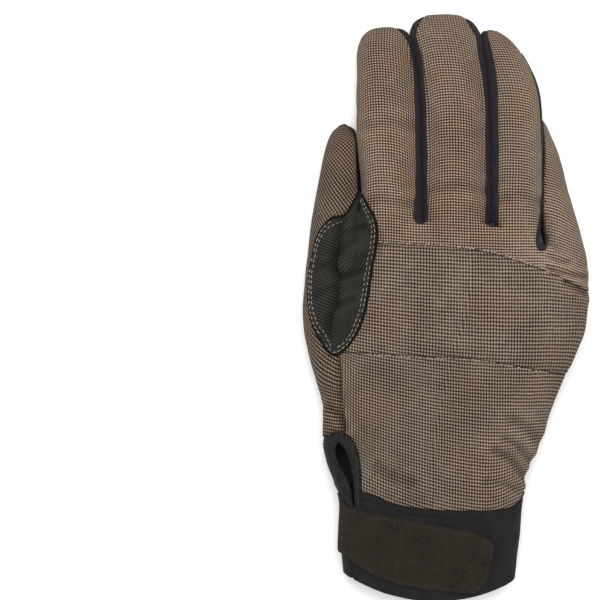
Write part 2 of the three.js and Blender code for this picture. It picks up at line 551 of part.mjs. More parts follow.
const glove = new THREE.Group();
glove.add(
  meshOf('finger_back_panel', makeFingerBack(), BACK_TAUPE),
  meshOf('knuckle_panel', makeKnuckle(), BACK_TAUPE),
  meshOf('hand_back_panel', makeHandBack(), BACK_TAUPE),
  meshOf('thumb_back_panel', makeThumbBack(), THUMB_TAUPE),
  meshOf('fourchette_index_middle', makeSideStrip(strip(STRIP_INDEX_MIDDLE, -half)), STRETCH_BLACK),
  meshOf('fourchette_middle_ring', makeSideStrip(strip(STRIP_MIDDLE_RING, -half)), STRETCH_BLACK),
  meshOf('fourchette_ring_little', makeSideStrip(ringStrip(-half)), STRETCH_BLACK),
  meshOf('palm_panel', makePalm(), SUEDE),
  meshOf('upper_palm_patch', makeUpperPatch(), PATCH_BLACK),
  meshOf('lower_palm_patch', makeLowerPatch(), PATCH_BLACK),
  meshOf('index_tip_patch', makeIndexTipPatch(), PATCH_BLACK),
  meshOf('thumb_tip_patch', makeThumbTipPatch(), PATCH_BLACK),
  meshOf('thumb_web_patch', makeWebPatch(), WEB_BLACK),
  meshOf('vent_binding', makeVentBinding(), CUFF_BLACK),
  meshOf('cuff_band', makeCuff(), CUFF_BLACK),
  meshOf('wrist_strap', makeStrap(), STRAP_OLIVE),
);

export default glove;
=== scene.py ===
"""A right-hand mechanic glove lying palm down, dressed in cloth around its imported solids."""

import logging
import math
from dataclasses import dataclass
from enum import Enum
from functools import cache, cached_property
from typing import Callable, Sequence

import bmesh
import bpy
import numpy as np
from mathutils import Matrix, Vector
from mathutils.bvhtree import BVHTree
from mathutils.kdtree import KDTree


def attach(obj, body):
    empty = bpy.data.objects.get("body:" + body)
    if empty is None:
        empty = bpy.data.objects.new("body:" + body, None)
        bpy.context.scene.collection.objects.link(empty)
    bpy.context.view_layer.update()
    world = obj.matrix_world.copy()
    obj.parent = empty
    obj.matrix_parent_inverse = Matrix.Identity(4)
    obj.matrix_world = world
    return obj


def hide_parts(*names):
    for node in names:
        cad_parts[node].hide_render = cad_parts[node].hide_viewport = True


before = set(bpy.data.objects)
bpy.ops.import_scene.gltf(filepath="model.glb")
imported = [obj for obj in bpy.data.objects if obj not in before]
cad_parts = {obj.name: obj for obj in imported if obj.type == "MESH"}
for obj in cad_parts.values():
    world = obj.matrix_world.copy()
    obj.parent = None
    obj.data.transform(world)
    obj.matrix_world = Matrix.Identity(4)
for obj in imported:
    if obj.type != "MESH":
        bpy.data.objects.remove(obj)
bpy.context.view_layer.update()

logging.basicConfig(level=logging.INFO, format="%(message)s")
log = logging.getLogger("glove")

Array = np.ndarray
Measure = Callable[[Array], Array]  # takes points and gives a value for each
Rows = Sequence[Sequence[float]]
BMesh = bmesh.types.BMesh
Mesh = bpy.types.Mesh
Material = bpy.types.Material
Piece = bpy.types.Object
Socket = bpy.types.NodeSocket

# All sizes are millimetres until a piece is finished
MM = 0.001
PATCHED_FLOOR = 1.1  # lowest level of a panel that carries a patch
BARE_FLOOR = 0.0
SECTION_POWER = 2.2
PALM_POWER = 2.5
FABRIC = 1.6
REST_LEVEL = 0.05

# How lengths round a section are worked out
SECTION_RATIOS = np.linspace(0.1, 2.0, 39)  # heights over widths
SECTION_STEPS = 180  # from the top to the underside
WIDEST_POINT = 1.2  # in half widths; points further out count as here
SIDE_BLEND = (0.75, 0.97)  # from there on outwards a point's height tells where it is
LOW_BLEND = (-0.3, 0.0)  # and from there on downwards

# Fingers, base to tip: y, left wall, right wall, back of the finger, underside
INDEX_ROWS = (
    (10, -35.0, -11.4, 31.5, 1.5), (22, -36.0, -11.3, 31.0, 1.5), (36, -37.6, -11.7, 30.5, 1.4),
    (50, -38.2, -12.1, 29.5, 3.5), (68, -39.0, -12.4, 28.5, 5.5), (86, -39.4, -12.7, 26.0, 4.5),
    (103, -39.3, -14.2, 22.5, 0.5), (112, -38.9, -15.4, 19.5, -0.5), (118.5, -37.0, -16.8, 16.0, 0.3),
    (122.0, -33.6, -19.4, 11.5, 2.4),
)
MIDDLE_ROWS = (
    (10, -9.5, 17.4, 32.5, 1.5), (22, -9.6, 17.5, 32.0, 1.5), (36, -9.9, 17.7, 31.0, 1.4),
    (52, -10.0, 17.8, 30.0, 2.0), (70, -10.0, 17.8, 28.5, 3.5), (92, -10.2, 17.0, 25.5, 2.5),
    (108, -12.2, 15.8, 22.0, -0.5), (117.5, -14.2, 14.8, 18.5, -1.5), (124.6, -12.8, 11.6, 14.5, -0.3),
    (128.0, -8.2, 6.4, 10.0, 2.6),
)
RING_ROWS = (
    (8, 19.2, 41.0, 31.5, 1.5), (20, 19.3, 41.2, 31.0, 1.5), (36, 19.6, 41.5, 30.0, 1.6),
    (50, 20.0, 41.9, 29.0, 4.5), (66, 20.1, 42.3, 27.5, 6.2), (82, 19.9, 42.3, 25.5, 6.0),
    (95, 19.5, 41.0, 23.0, 3.5), (107, 18.3, 36.6, 19.5, -0.5), (115.5, 17.2, 31.0, 15.5, 0.0),
    (120.9, 17.8, 24.6, 10.5, 3.0),
)
LITTLE_ROWS = (
    (-4, 42.6, 61.6, 27.0, 1.5), (6, 43.0, 62.4, 26.0, 1.5), (20, 43.4, 61.9, 24.5, 1.5),
    (34, 41.2, 58.9, 22.0, 1.5), (49, 37.6, 54.5, 19.0, -0.5), (65, 33.6, 50.6, 17.0, -1.0),
    (78, 31.4, 45.9, 14.5, -1.0), (83.4, 32.4, 42.4, 11.5, 0.5), (86.6, 35.0, 39.2, 8.5, 3.0),
)
THUMB_ROWS = (
    (-46, -53.0, -32.0, 26.0, 0.5), (-30, -58.0, -32.0, 27.5, 0.5), (-12, -62.0, -33.6, 28.0, 0.0),
    (3, -62.3, -33.6, 27.5, 0.0), (20, -60.9, -33.0, 26.0, 0.0), (33, -59.5, -33.0, 24.5, 0.0),
    (46, -57.3, -32.6, 22.5, 0.0), (58, -55.0, -33.0, 20.5, 0.3), (69, -53.1, -34.6, 17.5, 1.0),
    (76, -50.6, -37.6, 13.5, 2.0), (79.4, -47.4, -42.0, 10.0, 4.5),
)
THUMB_ROLL = math.radians(-32)

# The hand, cuff mouth to crotches: left x and y, right x and y, back, underside, how far its middle
# runs ahead, how far the crotch between middle and ring finger does, and its lowest level
HAND_ROWS = (
    (-45.2, -127.0, 30.6, -129.5, 23.8, -1.0, -9.5, 0, PATCHED_FLOOR),
    (-45.4, -118.0, 31.0, -120.5, 24.0, -1.0, -9.5, 0, PATCHED_FLOOR),
    (-46.6, -106.0, 32.8, -104.0, 25.0, -1.0, -8.0, 0, PATCHED_FLOOR),
    (-46.2, -86.0, 34.4, -83.5, 26.5, -1.0, -6.0, 0, PATCHED_FLOOR),
    (-49.4, -76.5, 35.2, -73.0, 28.5, -1.0, -4.0, 0, PATCHED_FLOOR),
    (-52.4, -68.0, 38.6, -66.0, 28.2, -1.5, -2.0, 0, PATCHED_FLOOR),
    (-54.0, -59.0, 41.6, -59.0, 29.5, -1.5, 0, 0, PATCHED_FLOOR),
    (-54.0, -48.0, 45.4, -48.0, 30.5, -2.0, 0, 0, PATCHED_FLOOR),
    (-54.0, -34.0, 51.2, -34.0, 31.5, -2.0, 0, 0, PATCHED_FLOOR),
    (-52.0, -18.0, 56.8, -20.0, 32.5, -2.0, 0, 0, PATCHED_FLOOR),
    (-49.0, -3.0, 59.9, -13.0, 33.0, -2.0, -1.5, 0, PATCHED_FLOOR),
    (-47.0, 3.0, 60.9, -7.5, 33.3, 2.0, -2.0, 0, 4.6),
    (-45.5, 9.0, 61.7, -1.5, 33.5, -2.0, -1.5, 0, PATCHED_FLOOR),
    (-43.0, 21.0, 62.3, 7.5, 33.3, -1.5, 0, 1.5, PATCHED_FLOOR),
    (-41.0, 40.0, 58.6, 21.0, 29.5, 0.0, 0, 8.0, PATCHED_FLOOR),
)
CROTCH_PLACE = 0.58
CROTCH_WIDTH = 0.26
MOUTH_ROW = 1  # the row of the hand where the cuff ends

# Seam lines seen from above
UPPER_KNUCKLE_SEAM = (
    (-80, 27.6), (-30.6, 26.8), (3.1, 24.9), (19.8, 22.2), (32.6, 18.3), (45.3, 13.4), (80, -2.0),
)
LOWER_KNUCKLE_SEAM = (
    (-80, -19.5), (-38.3, -20.5), (-5.3, -22.2), (7.5, -22.7), (19.8, -24.4), (43.6, -28.8), (80, -35),
)
HEM = (
    (-80, -77.8), (-37.8, -81.2), (-26.0, -85.6), (-18.0, -87.4), (-5.0, -88.8), (1.8, -89.0), (15.0, -89.2),
    (23.6, -88.8), (28.2, -87.8), (31.4, -85.8), (33.6, -83.2), (35.2, -80.4), (50, -78), (80, -78),
)
THUMB_SEAM = (
    (-44.9, -100), (-45.0, -56.0), (-45.5, -44.0), (-46.3, -33.0), (-47.0, -21.0), (-46.6, 1.5),
    (-46.6, 17.8), (-43.2, 40.0), (-40.2, 48.0),
)
PALM_SEAM = (
    (-14.0, -100), (-19.8, -84.3), (-27.3, -65.3), (-37.8, -32.8), (-41.4, -8.1), (-43.3, 19.1),
    (-46.2, 42.0), (-45.5, 66.0), (-40.5, 84.0), (-60.0, 90.0), (-60.0, 140.0),
)
THUMB_TIP_SEAM = ((-35.0, 60.0), (-38.4, 70.0), (-40.2, 75.2), (-42.4, 79.4), (-46.0, 86.0))
THUMB_TIP_START = 66.0
LITTLE_TIP_DROP = 7.0
LITTLE_TIP_RISE = ((39.4, 41.0), (60, 76))  # across and along, where that begins and is full
THUMB_CROTCH = 40.0
LITTLE_CROTCH = 31.0
SIDE_SEAM = ((-140, 9.0), (30, 9.5), (70, 11.0), (84, 10.5), (102, 7.5), (140, 6.0))
INNER_SEAM = ((-140, 12.5), (94, 12.5), (104, 10.3), (112, 7.9), (118, 6.9), (140, 6.0))
INNER_REACH = 4.0
STRIP_ROUND = 0.7  # how far the end of a side strip bulges

# Side strips between the fingers: y, where the woven backs of the two fingers end
STRIP_INDEX_MIDDLE = (
    (36.2, -13.9, -9.9), (38.6, -14.8, -9.0), (43, -14.4, -9.0), (50, -13.9, -9.1), (62, -13.7, -9.3),
    (78, -13.6, -9.6), (92, -13.9, -9.9), (102, -14.4, -10.4), (109, -15.0, -11.2), (115, -16.2, -12.6),
    (119, -18.2, -13.4), (122, -20.6, -12.9), (126, -24.0, -11.0), (132, -26.0, -8.0),
)
STRIP_MIDDLE_RING = (
    (35.0, 17.2, 20.8), (37.6, 16.5, 21.5), (42, 16.7, 21.5), (60, 17.2, 21.6), (95, 16.4, 21.5),
    (110, 14.4, 19.6), (118, 13.6, 18.2), (124, 10.4, 18.2), (132, 8.0, 18.2),
)
STRIP_RING_LITTLE = (
    (24.6, 39.0, 42.2), (27.4, 38.3, 43.0), (30, 38.6, 43.2), (34, 39.5, 43.2), (42, 40.6, 43.4),
    (55, 41.1, 44.5), (68, 41.4, 46.0), (82, 41.3, 46.0), (90, 40.7, 46.0), (96, 39.3, 46.0),
    (103, 37.2, 45.0), (107.5, 35.4, 43.0), (112, 33.8, 41.0),
)

# Patches, seen from above
UPPER_PATCH = (
    (-28.6, 8.0), (-30.4, 28.0), (-29.6, 46.5), (-24.5, 48.6), (-19.4, 46.0), (-18.8, 37.0),
    (-12.3, 31.0), (-5.0, 34.8), (-2.2, 46.0), (1.4, 53.0), (7.3, 54.4), (12.0, 51.0),
    (11.6, 37.5), (17.5, 30.4), (21.0, 34.0), (20.4, 43.5), (25.0, 47.6), (32.6, 46.0),
    (33.2, 37.5), (32.6, 26.0), (39.0, 18.7), (44.6, 26.0), (48.2, 34.8), (54.4, 37.4),
    (58.0, 31.0), (60.0, 17.0), (59.6, 1.5), (52.0, -3.2), (34.8, -5.2), (14.7, -1.4), (-5.0, 2.6),
)
LOWER_PATCH = (
    (-23.6, -5.6), (-16.0, 0.6), (-6.0, -3.2), (12.0, -9.2), (36.0, -11.0), (57.0, -11.6),
    (56.4, -22.0), (48.6, -44.0), (42.0, -64.0), (34.0, -71.6), (28.0, -67.0), (21.6, -49.0),
    (14.6, -30.6), (8.4, -25.8), (2.0, -30.0), (2.4, -39.0), (5.8, -54.0), (0.6, -63.0),
    (-9.4, -56.4), (-18.6, -40.6), (-22.4, -20.0),
)
INDEX_TIP_PATCH = (
    (-35.4, 88.0), (-36.6, 104.0), (-33.6, 113.0), (-26.6, 117.6), (-19.4, 114.4), (-16.2, 104.0),
    (-15.4, 90.0), (-25.0, 84.4),
)
THUMB_TIP_PATCH = (
    (-45.0, 36.0), (-45.6, 54.0), (-45.0, 68.0), (-41.6, 73.0), (-37.4, 67.0), (-34.8, 54.0),
    (-34.6, 40.0), (-39.0, 35.0),
)
WEB_PATCH = (
    (-38.2, 50.0), (-34.4, 43.6), (-31.4, 38.2), (-30.4, 30.0), (-32.6, 15.0), (-35.4, -2.0), (-40.4, -14.4),
    (-49.3, -22.0), (-56.6, -13.4), (-60.0, -1.0), (-60.1, 13.0), (-58.0, 26.4), (-54.6, 34.4),
    (-50.0, 38.8), (-44.8, 40.0), (-41.4, 45.6),
)
WEB_VALLEY = (
    (-51.6, -20), (-50.4, -13.6), (-49.6, -8.4), (-48.2, -2.4), (-46.6, 2.1), (-46.2, 5.9), (-45.7, 11.1),
    (-46.2, 16.3), (-46.2, 20.0), (-45.6, 26.8), (-44.8, 33.5), (-44.0, 39.5), (-42.4, 44.0), (-40.2, 50.0),
)
WEB_LOWEST = 12.0
VENT_LOWEST = 10.5
VENT_OUTER = (
    (-62.0, -60.5), (-55.0, -58.4), (-51.7, -56.6), (-48.4, -55.2), (-44.8, -55.6), (-41.4, -58.9),
    (-38.9, -65.6), (-38.0, -74.1), (-37.6, -83.6), (-37.6, -91.5), (-43.4, -91.5), (-47.0, -81.6),
    (-62.0, -81.2),
)
VENT_HOLE = (
    (-47.7, -59.6), (-45.3, -61.5), (-43.6, -65.2), (-42.5, -69.1), (-41.6, -73.9), (-40.9, -78.5),
    (-40.3, -86.8), (-41.2, -87.0), (-42.3, -80.1), (-43.9, -76.2), (-46.1, -72.3), (-48.5, -68.3),
    (-49.4, -65.0), (-49.3, -61.8),
)
CUFF_SPLIT = ((-40.2, -84), (-40.8, -104), (-41.3, -106.6), (-42.5, -106.4), (-42.4, -104), (-42.4, -84))
STRAP_TURN = 12.0
STRAP_OVER = (
    (-60.0, -80.6), (-46.8, -82.2), (-44.2, -86.0), (-42.0, -88.4), (-38.6, -89.1), (-31.9, -90.0),
    (-23.8, -91.6), (-11.4, -93.9), (0.9, -96.3), (11.0, -98.3), (16.6, -100.8), (19.6, -103.8),
    (20.2, -107.6), (19.2, -112.0), (17.0, -120.3), (13.4, -124.4), (8.0, -125.2), (-10.1, -123.4),
    (-18.0, -121.9), (-26.0, -119.7), (-31.5, -117.7), (-37.8, -114.3), (-41.8, -111.5), (-46.0, -108.4),
    (-60.0, -106.0),
)
STRAP_UNDER = (
    (-60.0, -81.4), (-44.0, -83.6), (-33.0, -86.4), (-29.6, -89.4), (-29.6, -104.6), (-33.0, -108.6),
    (-46.0, -107.6), (-60.0, -106.0),
)


def smooth_rows(rows: Rows, per_row: int, closed: bool = False) -> Array:
    """Runs a smooth curve through the rows of a table.

    Args:
        rows: the table, one point a row.
        per_row: points made for each row.
        closed: True joins the last row to the first.

    Returns:
        The denser table.
    """
    knots = np.asarray(rows, float)
    if closed:
        knots = np.vstack([knots[-1], knots, knots[:2]])
    else:
        knots = np.vstack([2 * knots[0] - knots[1], knots, 2 * knots[-1] - knots[-2]])
    t = (np.arange(per_row) / per_row)[:, None]
    parts = []
    for a, b, c, d in zip(knots, knots[1:], knots[2:], knots[3:]):
        parts.append(0.5 * (2 * b + (c - a) * t + (2 * a - 5 * b + 4 * c - d) * t**2
                            + (3 * b - a - 3 * c + d) * t**3))
    if not closed:
        parts.append(knots[-2:-1])
    return np.vstack(parts)


def smoothstep(values: Array, low: float, high: float) -> Array:
    """Rises smoothly from 0 at low to 1 at high."""
    t = np.clip((values - low) / (high - low), 0, 1)
    return t * t * (3 - 2 * t)


def eased_ramp(values: Array, width: float) -> Array:
    """0 below zero and the value itself above, with a soft bend between."""
    return np.where(values < width, np.maximum(values + width, 0) ** 2 / (4 * width), values)


def superellipse(angle: Array, power: float) -> tuple[Array, Array]:
    """Points of the unit superellipse, across and up.

    Args:
        angle: angle of each point, in radians.
        power: how square it is; 2 gives a circle.

    Returns:
        Their two coordinates.
    """
    across = np.sign(np.cos(angle)) * np.abs(np.cos(angle)) ** (2 / power)
    up = np.sign(np.sin(angle)) * np.abs(np.sin(angle)) ** (2 / power)
    return across, up


def arc_share(power: float, flatness: Array, turn: Array) -> Array:
    """Length along a section from its top to a turn, in half widths.

    Args:
        power: the section's power.
        flatness: its height over its width, one for each point.
        turn: angle from the top in radians, signed.

    Returns:
        The signed length.
    """
    ratios = SECTION_RATIOS
    turns = np.linspace(0, math.pi, SECTION_STEPS + 1)
    across, up = superellipse(math.pi / 2 - turns, power)
    steps = np.hypot(np.diff(across)[None], np.diff(up)[None] * ratios[:, None])
    table = np.hstack([np.zeros((len(ratios), 1)), np.cumsum(steps, axis=1)])
    row = np.clip(np.interp(flatness, ratios, np.arange(len(ratios))), 0, len(ratios) - 1.001)
    column = np.clip(np.abs(turn) / math.pi * SECTION_STEPS, 0, SECTION_STEPS - 0.001)
    i, j = row.astype(int), column.astype(int)
    p, q = row - i, column - j
    length = ((1 - p) * ((1 - q) * table[i, j] + q * table[i, j + 1])
              + p * ((1 - q) * table[i + 1, j] + q * table[i + 1, j + 1]))
    return np.sign(turn) * length


def turn_from_top(power: float, across: Array, up: Array) -> Array:
    """Angle from the top of a section to points on or near it.

    Args:
        power: the section's power.
        across: how far out the points are, in half widths.
        up: how high they are, in half heights.

    Returns:
        The angle in radians, with the sign of across.
    """
    a = np.minimum(np.abs(across), WIDEST_POINT) ** (power / 2)
    b = np.sign(up) * np.abs(up) ** (power / 2)
    on_line = np.sign(up) * np.sqrt(np.maximum(1 - a * a, 0))
    near_side = np.maximum(smoothstep(a, *SIDE_BLEND), smoothstep(-up, *LOW_BLEND))
    return np.sign(across) * np.arctan2(a, (1 - near_side) * on_line + near_side * b)


@dataclass(frozen=True)
class Tube:
    """A finger or the thumb as sections along the hand.

    rows holds y, left, right, top and sole; floor flattens what lies lower; roll turns the
    sections about the finger.
    """

    rows: tuple
    floor: float = BARE_FLOOR
    roll: float = 0.0
    spread: float = 0.0  # how far it is held aside while the form is joined
    spread_rise: tuple = (0.0, 1.0)  # where along the hand that begins and is full
    power: float = SECTION_POWER
    sides: int = 72
    per_row: int = 7
    closing: tuple = ((0.9, 0.6), (1.35, 0.2))  # past the last row: how far, and the share of its size
    slimmest: float = 0.3
    tip_rows: int = 12  # rows of the smooth table over which the tip begins

    @cached_property
    def table(self) -> Array:
        """The smooth rows, with a rounded end.

        Returns:
            One row of y, left, right, top and sole for each section.
        """
        y, left, right, top, sole = self.rows[-1]
        middle, level = (left + right) / 2, (top + sole) / 2
        closing = []
        for ahead, share in self.closing:
            reach, tall = (right - left) / 2 * share, (top - sole) / 2 * share
            closing.append((y + ahead, middle - reach, middle + reach, level + tall, level - tall))
        return smooth_rows(self.rows + tuple(closing), self.per_row)

    def sections(self, grow: float = 0.0) -> Array:
        """Rings of points, base to tip, grown by a distance.

        Args:
            grow: how far outside the finger they lie.

        Returns:
            An array of rings, points and coordinates.
        """
        y, left, right, top, sole = self.table.T[:, :, None]
        half = np.maximum((right - left) / 2 + grow, self.slimmest)
        tall = np.maximum((top - sole) / 2 + grow, self.slimmest)
        across, up = superellipse(np.linspace(0, 2 * math.pi, self.sides + 1), self.power)
        lean = np.hypot(math.cos(self.roll), math.sin(self.roll) * tall / half)
        u, v = across * half / lean, up * tall
        x = (left + right) / 2 + u * math.cos(self.roll) - v * math.sin(self.roll)
        z = (top + sole) / 2 + u * math.sin(self.roll) + v * math.cos(self.roll)
        nearly_tip = smoothstep(y, y[-self.tip_rows, 0], y[-1, 0]) * grow
        x = x + self.spread * smoothstep(y, *self.spread_rise)
        return np.stack([x, y + nearly_tip + 0 * x, np.maximum(z, self.floor - grow)], axis=2)

    def local(self, points: Array) -> tuple[Array, ...]:
        """Where points lie in their sections: across, up, half width, half height.

        Args:
            points: positions on the glove.

        Returns:
            Four arrays, one value for each point.
        """
        y, left, right, top, sole = self.table.T
        values = [np.interp(points[:, 1], y, column) for column in (left, right, top, sole)]
        half, tall = (values[1] - values[0]) / 2, (values[2] - values[3]) / 2
        dx = points[:, 0] - (values[0] + values[1]) / 2
        dz = points[:, 2] - (values[2] + values[3]) / 2
        lean = np.hypot(math.cos(self.roll), math.sin(self.roll) * tall / half)
        u = dx * math.cos(self.roll) + dz * math.sin(self.roll)
        v = dz * math.cos(self.roll) - dx * math.sin(self.roll)
        return u, v, half / lean, tall

    def reach(self, points: Array) -> Array:
        """Rough distance of points from the tube's wall, negative inside.

        Args:
            points: positions on the glove.

        Returns:
            One distance for each point.
        """
        u, v, half, tall = self.local(points)
        share = (np.abs(u / half) ** self.power + np.abs(v / tall) ** self.power) ** (1 / self.power)
        past, short = points[:, 1] - self.table[-1, 0], self.table[0, 0] - points[:, 1]
        beyond = np.maximum(past, 0) + np.maximum(short, 0)
        return (share - 1) * np.minimum(half, tall) + beyond

    def arc(self, points: Array) -> Array:
        """Signed length round the section from its top to each point."""
        u, v, half, tall = self.local(points)
        return arc_share(self.power, tall / half, turn_from_top(self.power, u / half, v / tall)) * half

    def girth(self, points: Array) -> Array:
        """Length all round the section at each point."""
        _, _, half, tall = self.local(points)
        return 2 * half * arc_share(self.power, tall / half, np.full(len(points), math.pi))

    def along(self, y: Array) -> Array:
        """Length along the back of the finger up to y.

        Args:
            y: places along the hand.

        Returns:
            One length for each.
        """
        rows = self.table
        steps = np.hypot(np.diff(rows[:, 0]), np.diff(rows[:, 3]))
        return np.interp(y, rows[:, 0], rows[0, 0] + np.concatenate([[0], np.cumsum(steps)]))


@dataclass(frozen=True)
class Hand:
    """The body of the hand with wrist and cuff."""

    rows: tuple = HAND_ROWS
    power: float = PALM_POWER
    sides: int = 180
    per_row: int = 8

    def sections(self) -> Array:
        """Rings of points, cuff to crotches.

        Returns:
            An array of rings, points and coordinates.
        """
        table = smooth_rows(self.rows, self.per_row).T[:, :, None]
        left_x, left_y, right_x, right_y, top, sole, bow, crotch, floor = table
        across, up = superellipse(np.linspace(0, 2 * math.pi, self.sides + 1), self.power)
        share = (across + 1) / 2
        ahead = bow * 4 * share * (1 - share)
        ahead = ahead + crotch * np.exp(-(((share - CROTCH_PLACE) / CROTCH_WIDTH) ** 2))
        x = left_x + (right_x - left_x) * share
        y = left_y + (right_y - left_y) * share + ahead
        z = np.maximum((top + sole) / 2 + (top - sole) / 2 * up, floor)
        return np.stack([x, y, z], axis=2)

    def mouth(self, x: Array) -> Array:
        """Where the cuff ends at each x.

        Args:
            x: places across the hand.

        Returns:
            The y of its end at each.
        """
        left_x, left_y, right_x, right_y, _, _, bow, _, _ = self.rows[MOUTH_ROW]
        share = np.clip((x - left_x) / (right_x - left_x), 0, 1)
        return left_y + (right_y - left_y) * share + bow * 4 * share * (1 - share)

    def arc_excess(self, points: Array) -> Array:
        """How much longer the way round from the top is than the way across, signed.

        Args:
            points: positions on the glove.

        Returns:
            One length for each point.
        """
        rows = smooth_rows(self.rows, self.per_row)
        y = (rows[:, 1] + rows[:, 3]) / 2 + rows[:, 6]
        left, right, top, sole = (np.interp(points[:, 1], y, rows[:, k]) for k in (0, 2, 4, 5))
        half, tall = (right - left) / 2, (top - sole) / 2
        u = points[:, 0] - (left + right) / 2
        v = points[:, 2] - (top + sole) / 2
        return arc_share(self.power, tall / half, turn_from_top(self.power, u / half, v / tall)) * half - u


INDEX = Tube(INDEX_ROWS, PATCHED_FLOOR)
MIDDLE = Tube(MIDDLE_ROWS)
RING = Tube(RING_ROWS)
LITTLE = Tube(LITTLE_ROWS, spread=2.2, spread_rise=(22, 40))
THUMB = Tube(THUMB_ROWS, PATCHED_FLOOR, THUMB_ROLL, spread=-2.3, spread_rise=(36, 50))
HAND = Hand()

# Neighbours pressed together: left and right finger, from y to y
PRESSED = ((INDEX, MIDDLE, 33.5, 128), (MIDDLE, RING, 33.5, 128))


class Outline:
    """A smooth closed line seen from above."""

    far = 8.0  # beyond this distance a point counts as being so far away

    def __init__(self, points: Rows, per_point: int = 5) -> None:
        """Makes the line through its points."""
        self.line = smooth_rows(points, per_point, closed=True)

    def signed(self, points: Array) -> Array:
        """Distance of points from the line, negative inside.

        Args:
            points: positions, of which x and y are used.

        Returns:
            One distance for each point.
        """
        low, high = self.line.min(0) - self.far, self.line.max(0) + self.far
        near = np.all((points[:, :2] > low) & (points[:, :2] < high), axis=1)
        result = np.full(len(points), self.far)
        spots = points[near, :2]
        best = np.full(len(spots), np.inf)
        inside = np.zeros(len(spots), bool)
        for start, end in zip(self.line, np.roll(self.line, -1, axis=0)):
            way = end - start
            share = np.clip(((spots - start) @ way) / max(way @ way, 1e-12), 0, 1)
            gap = spots - start - share[:, None] * way
            best = np.minimum(best, gap[:, 0] ** 2 + gap[:, 1] ** 2)
            crosses = (start[1] > spots[:, 1]) != (end[1] > spots[:, 1])
            with np.errstate(divide="ignore", invalid="ignore"):
                meets = start[0] + (spots[:, 1] - start[1]) * way[0] / way[1]
            inside ^= crosses & (spots[:, 0] < meets)
        distance = np.sqrt(best)
        result[near] = np.where(inside, -distance, distance)
        return result


def side_level(points: Array) -> Array:
    """Height of the seam between back and palm, which runs lower on the little fingertip.

    Args:
        points: positions on the glove.

    Returns:
        One height for each point.
    """
    x, y, _ = points.T
    level = line_x_at([(height, at) for at, height in SIDE_SEAM], y)
    across, along = LITTLE_TIP_RISE
    return level - LITTLE_TIP_DROP * smoothstep(x, *across) * smoothstep(y, *along)


def strip_outline(rows: Rows) -> Outline:
    """Outline of a side strip, rounded at the crotch.

    Args:
        rows: y, left x and right x, crotch to tip.

    Returns:
        The outline.
    """
    left = [(row[1], row[0]) for row in rows]
    right = [(row[2], row[0]) for row in rows]
    end = ((left[0][0] + right[0][0]) / 2, left[0][1] - STRIP_ROUND)
    return Outline(left[::-1] + [end] + right)


def line_at(points: Rows, where: Array) -> Array:
    """Second column of a line's points where the first is as given, along a smooth curve."""
    dense = smooth_rows(points, 8)
    return np.interp(where, dense[:, 0], dense[:, 1])


def line_x_at(points: Rows, where: Array) -> Array:
    """First column of a line's points where the second is as given."""
    return np.interp(where, [point[1] for point in points], [point[0] for point in points])


def tube_mesh(rings: Array) -> BMesh:
    """Closed tube through rings of points.

    Args:
        rings: an array of rings, points and coordinates, each ring's last point on its first.

    Returns:
        The tube, closed at both ends.
    """
    bm = bmesh.new()
    bmesh.ops.create_grid(bm, x_segments=rings.shape[1] - 1, y_segments=rings.shape[0] - 1, size=1)
    for vert, place in zip(bm.verts, rings.reshape(-1, 3)):
        vert.co = place
    bmesh.ops.remove_doubles(bm, verts=bm.verts, dist=1e-4)
    bmesh.ops.holes_fill(bm, edges=[edge for edge in bm.edges if edge.is_boundary], sides=0)
    bmesh.ops.recalc_face_normals(bm, faces=bm.faces)
    return bm


def object_of(bm: BMesh, name: str) -> Piece:
    """Puts a bmesh into a new object of the scene and frees it.

    Args:
        bm: the mesh.
        name: the object's name.

    Returns:
        The object.
    """
    mesh = bpy.data.meshes.new(name)
    bm.to_mesh(mesh)
    bm.free()
    obj = bpy.data.objects.new(name, mesh)
    bpy.context.scene.collection.objects.link(obj)
    return obj


def solved(obj: Piece) -> Mesh:
    """Mesh of an object with its modifiers applied. The object is removed.

    Args:
        obj: the object.

    Returns:
        The new mesh.
    """
    bpy.context.view_layer.update()
    graph = bpy.context.evaluated_depsgraph_get()
    mesh = bpy.data.meshes.new_from_object(obj.evaluated_get(graph))
    bpy.data.objects.remove(obj)
    return mesh


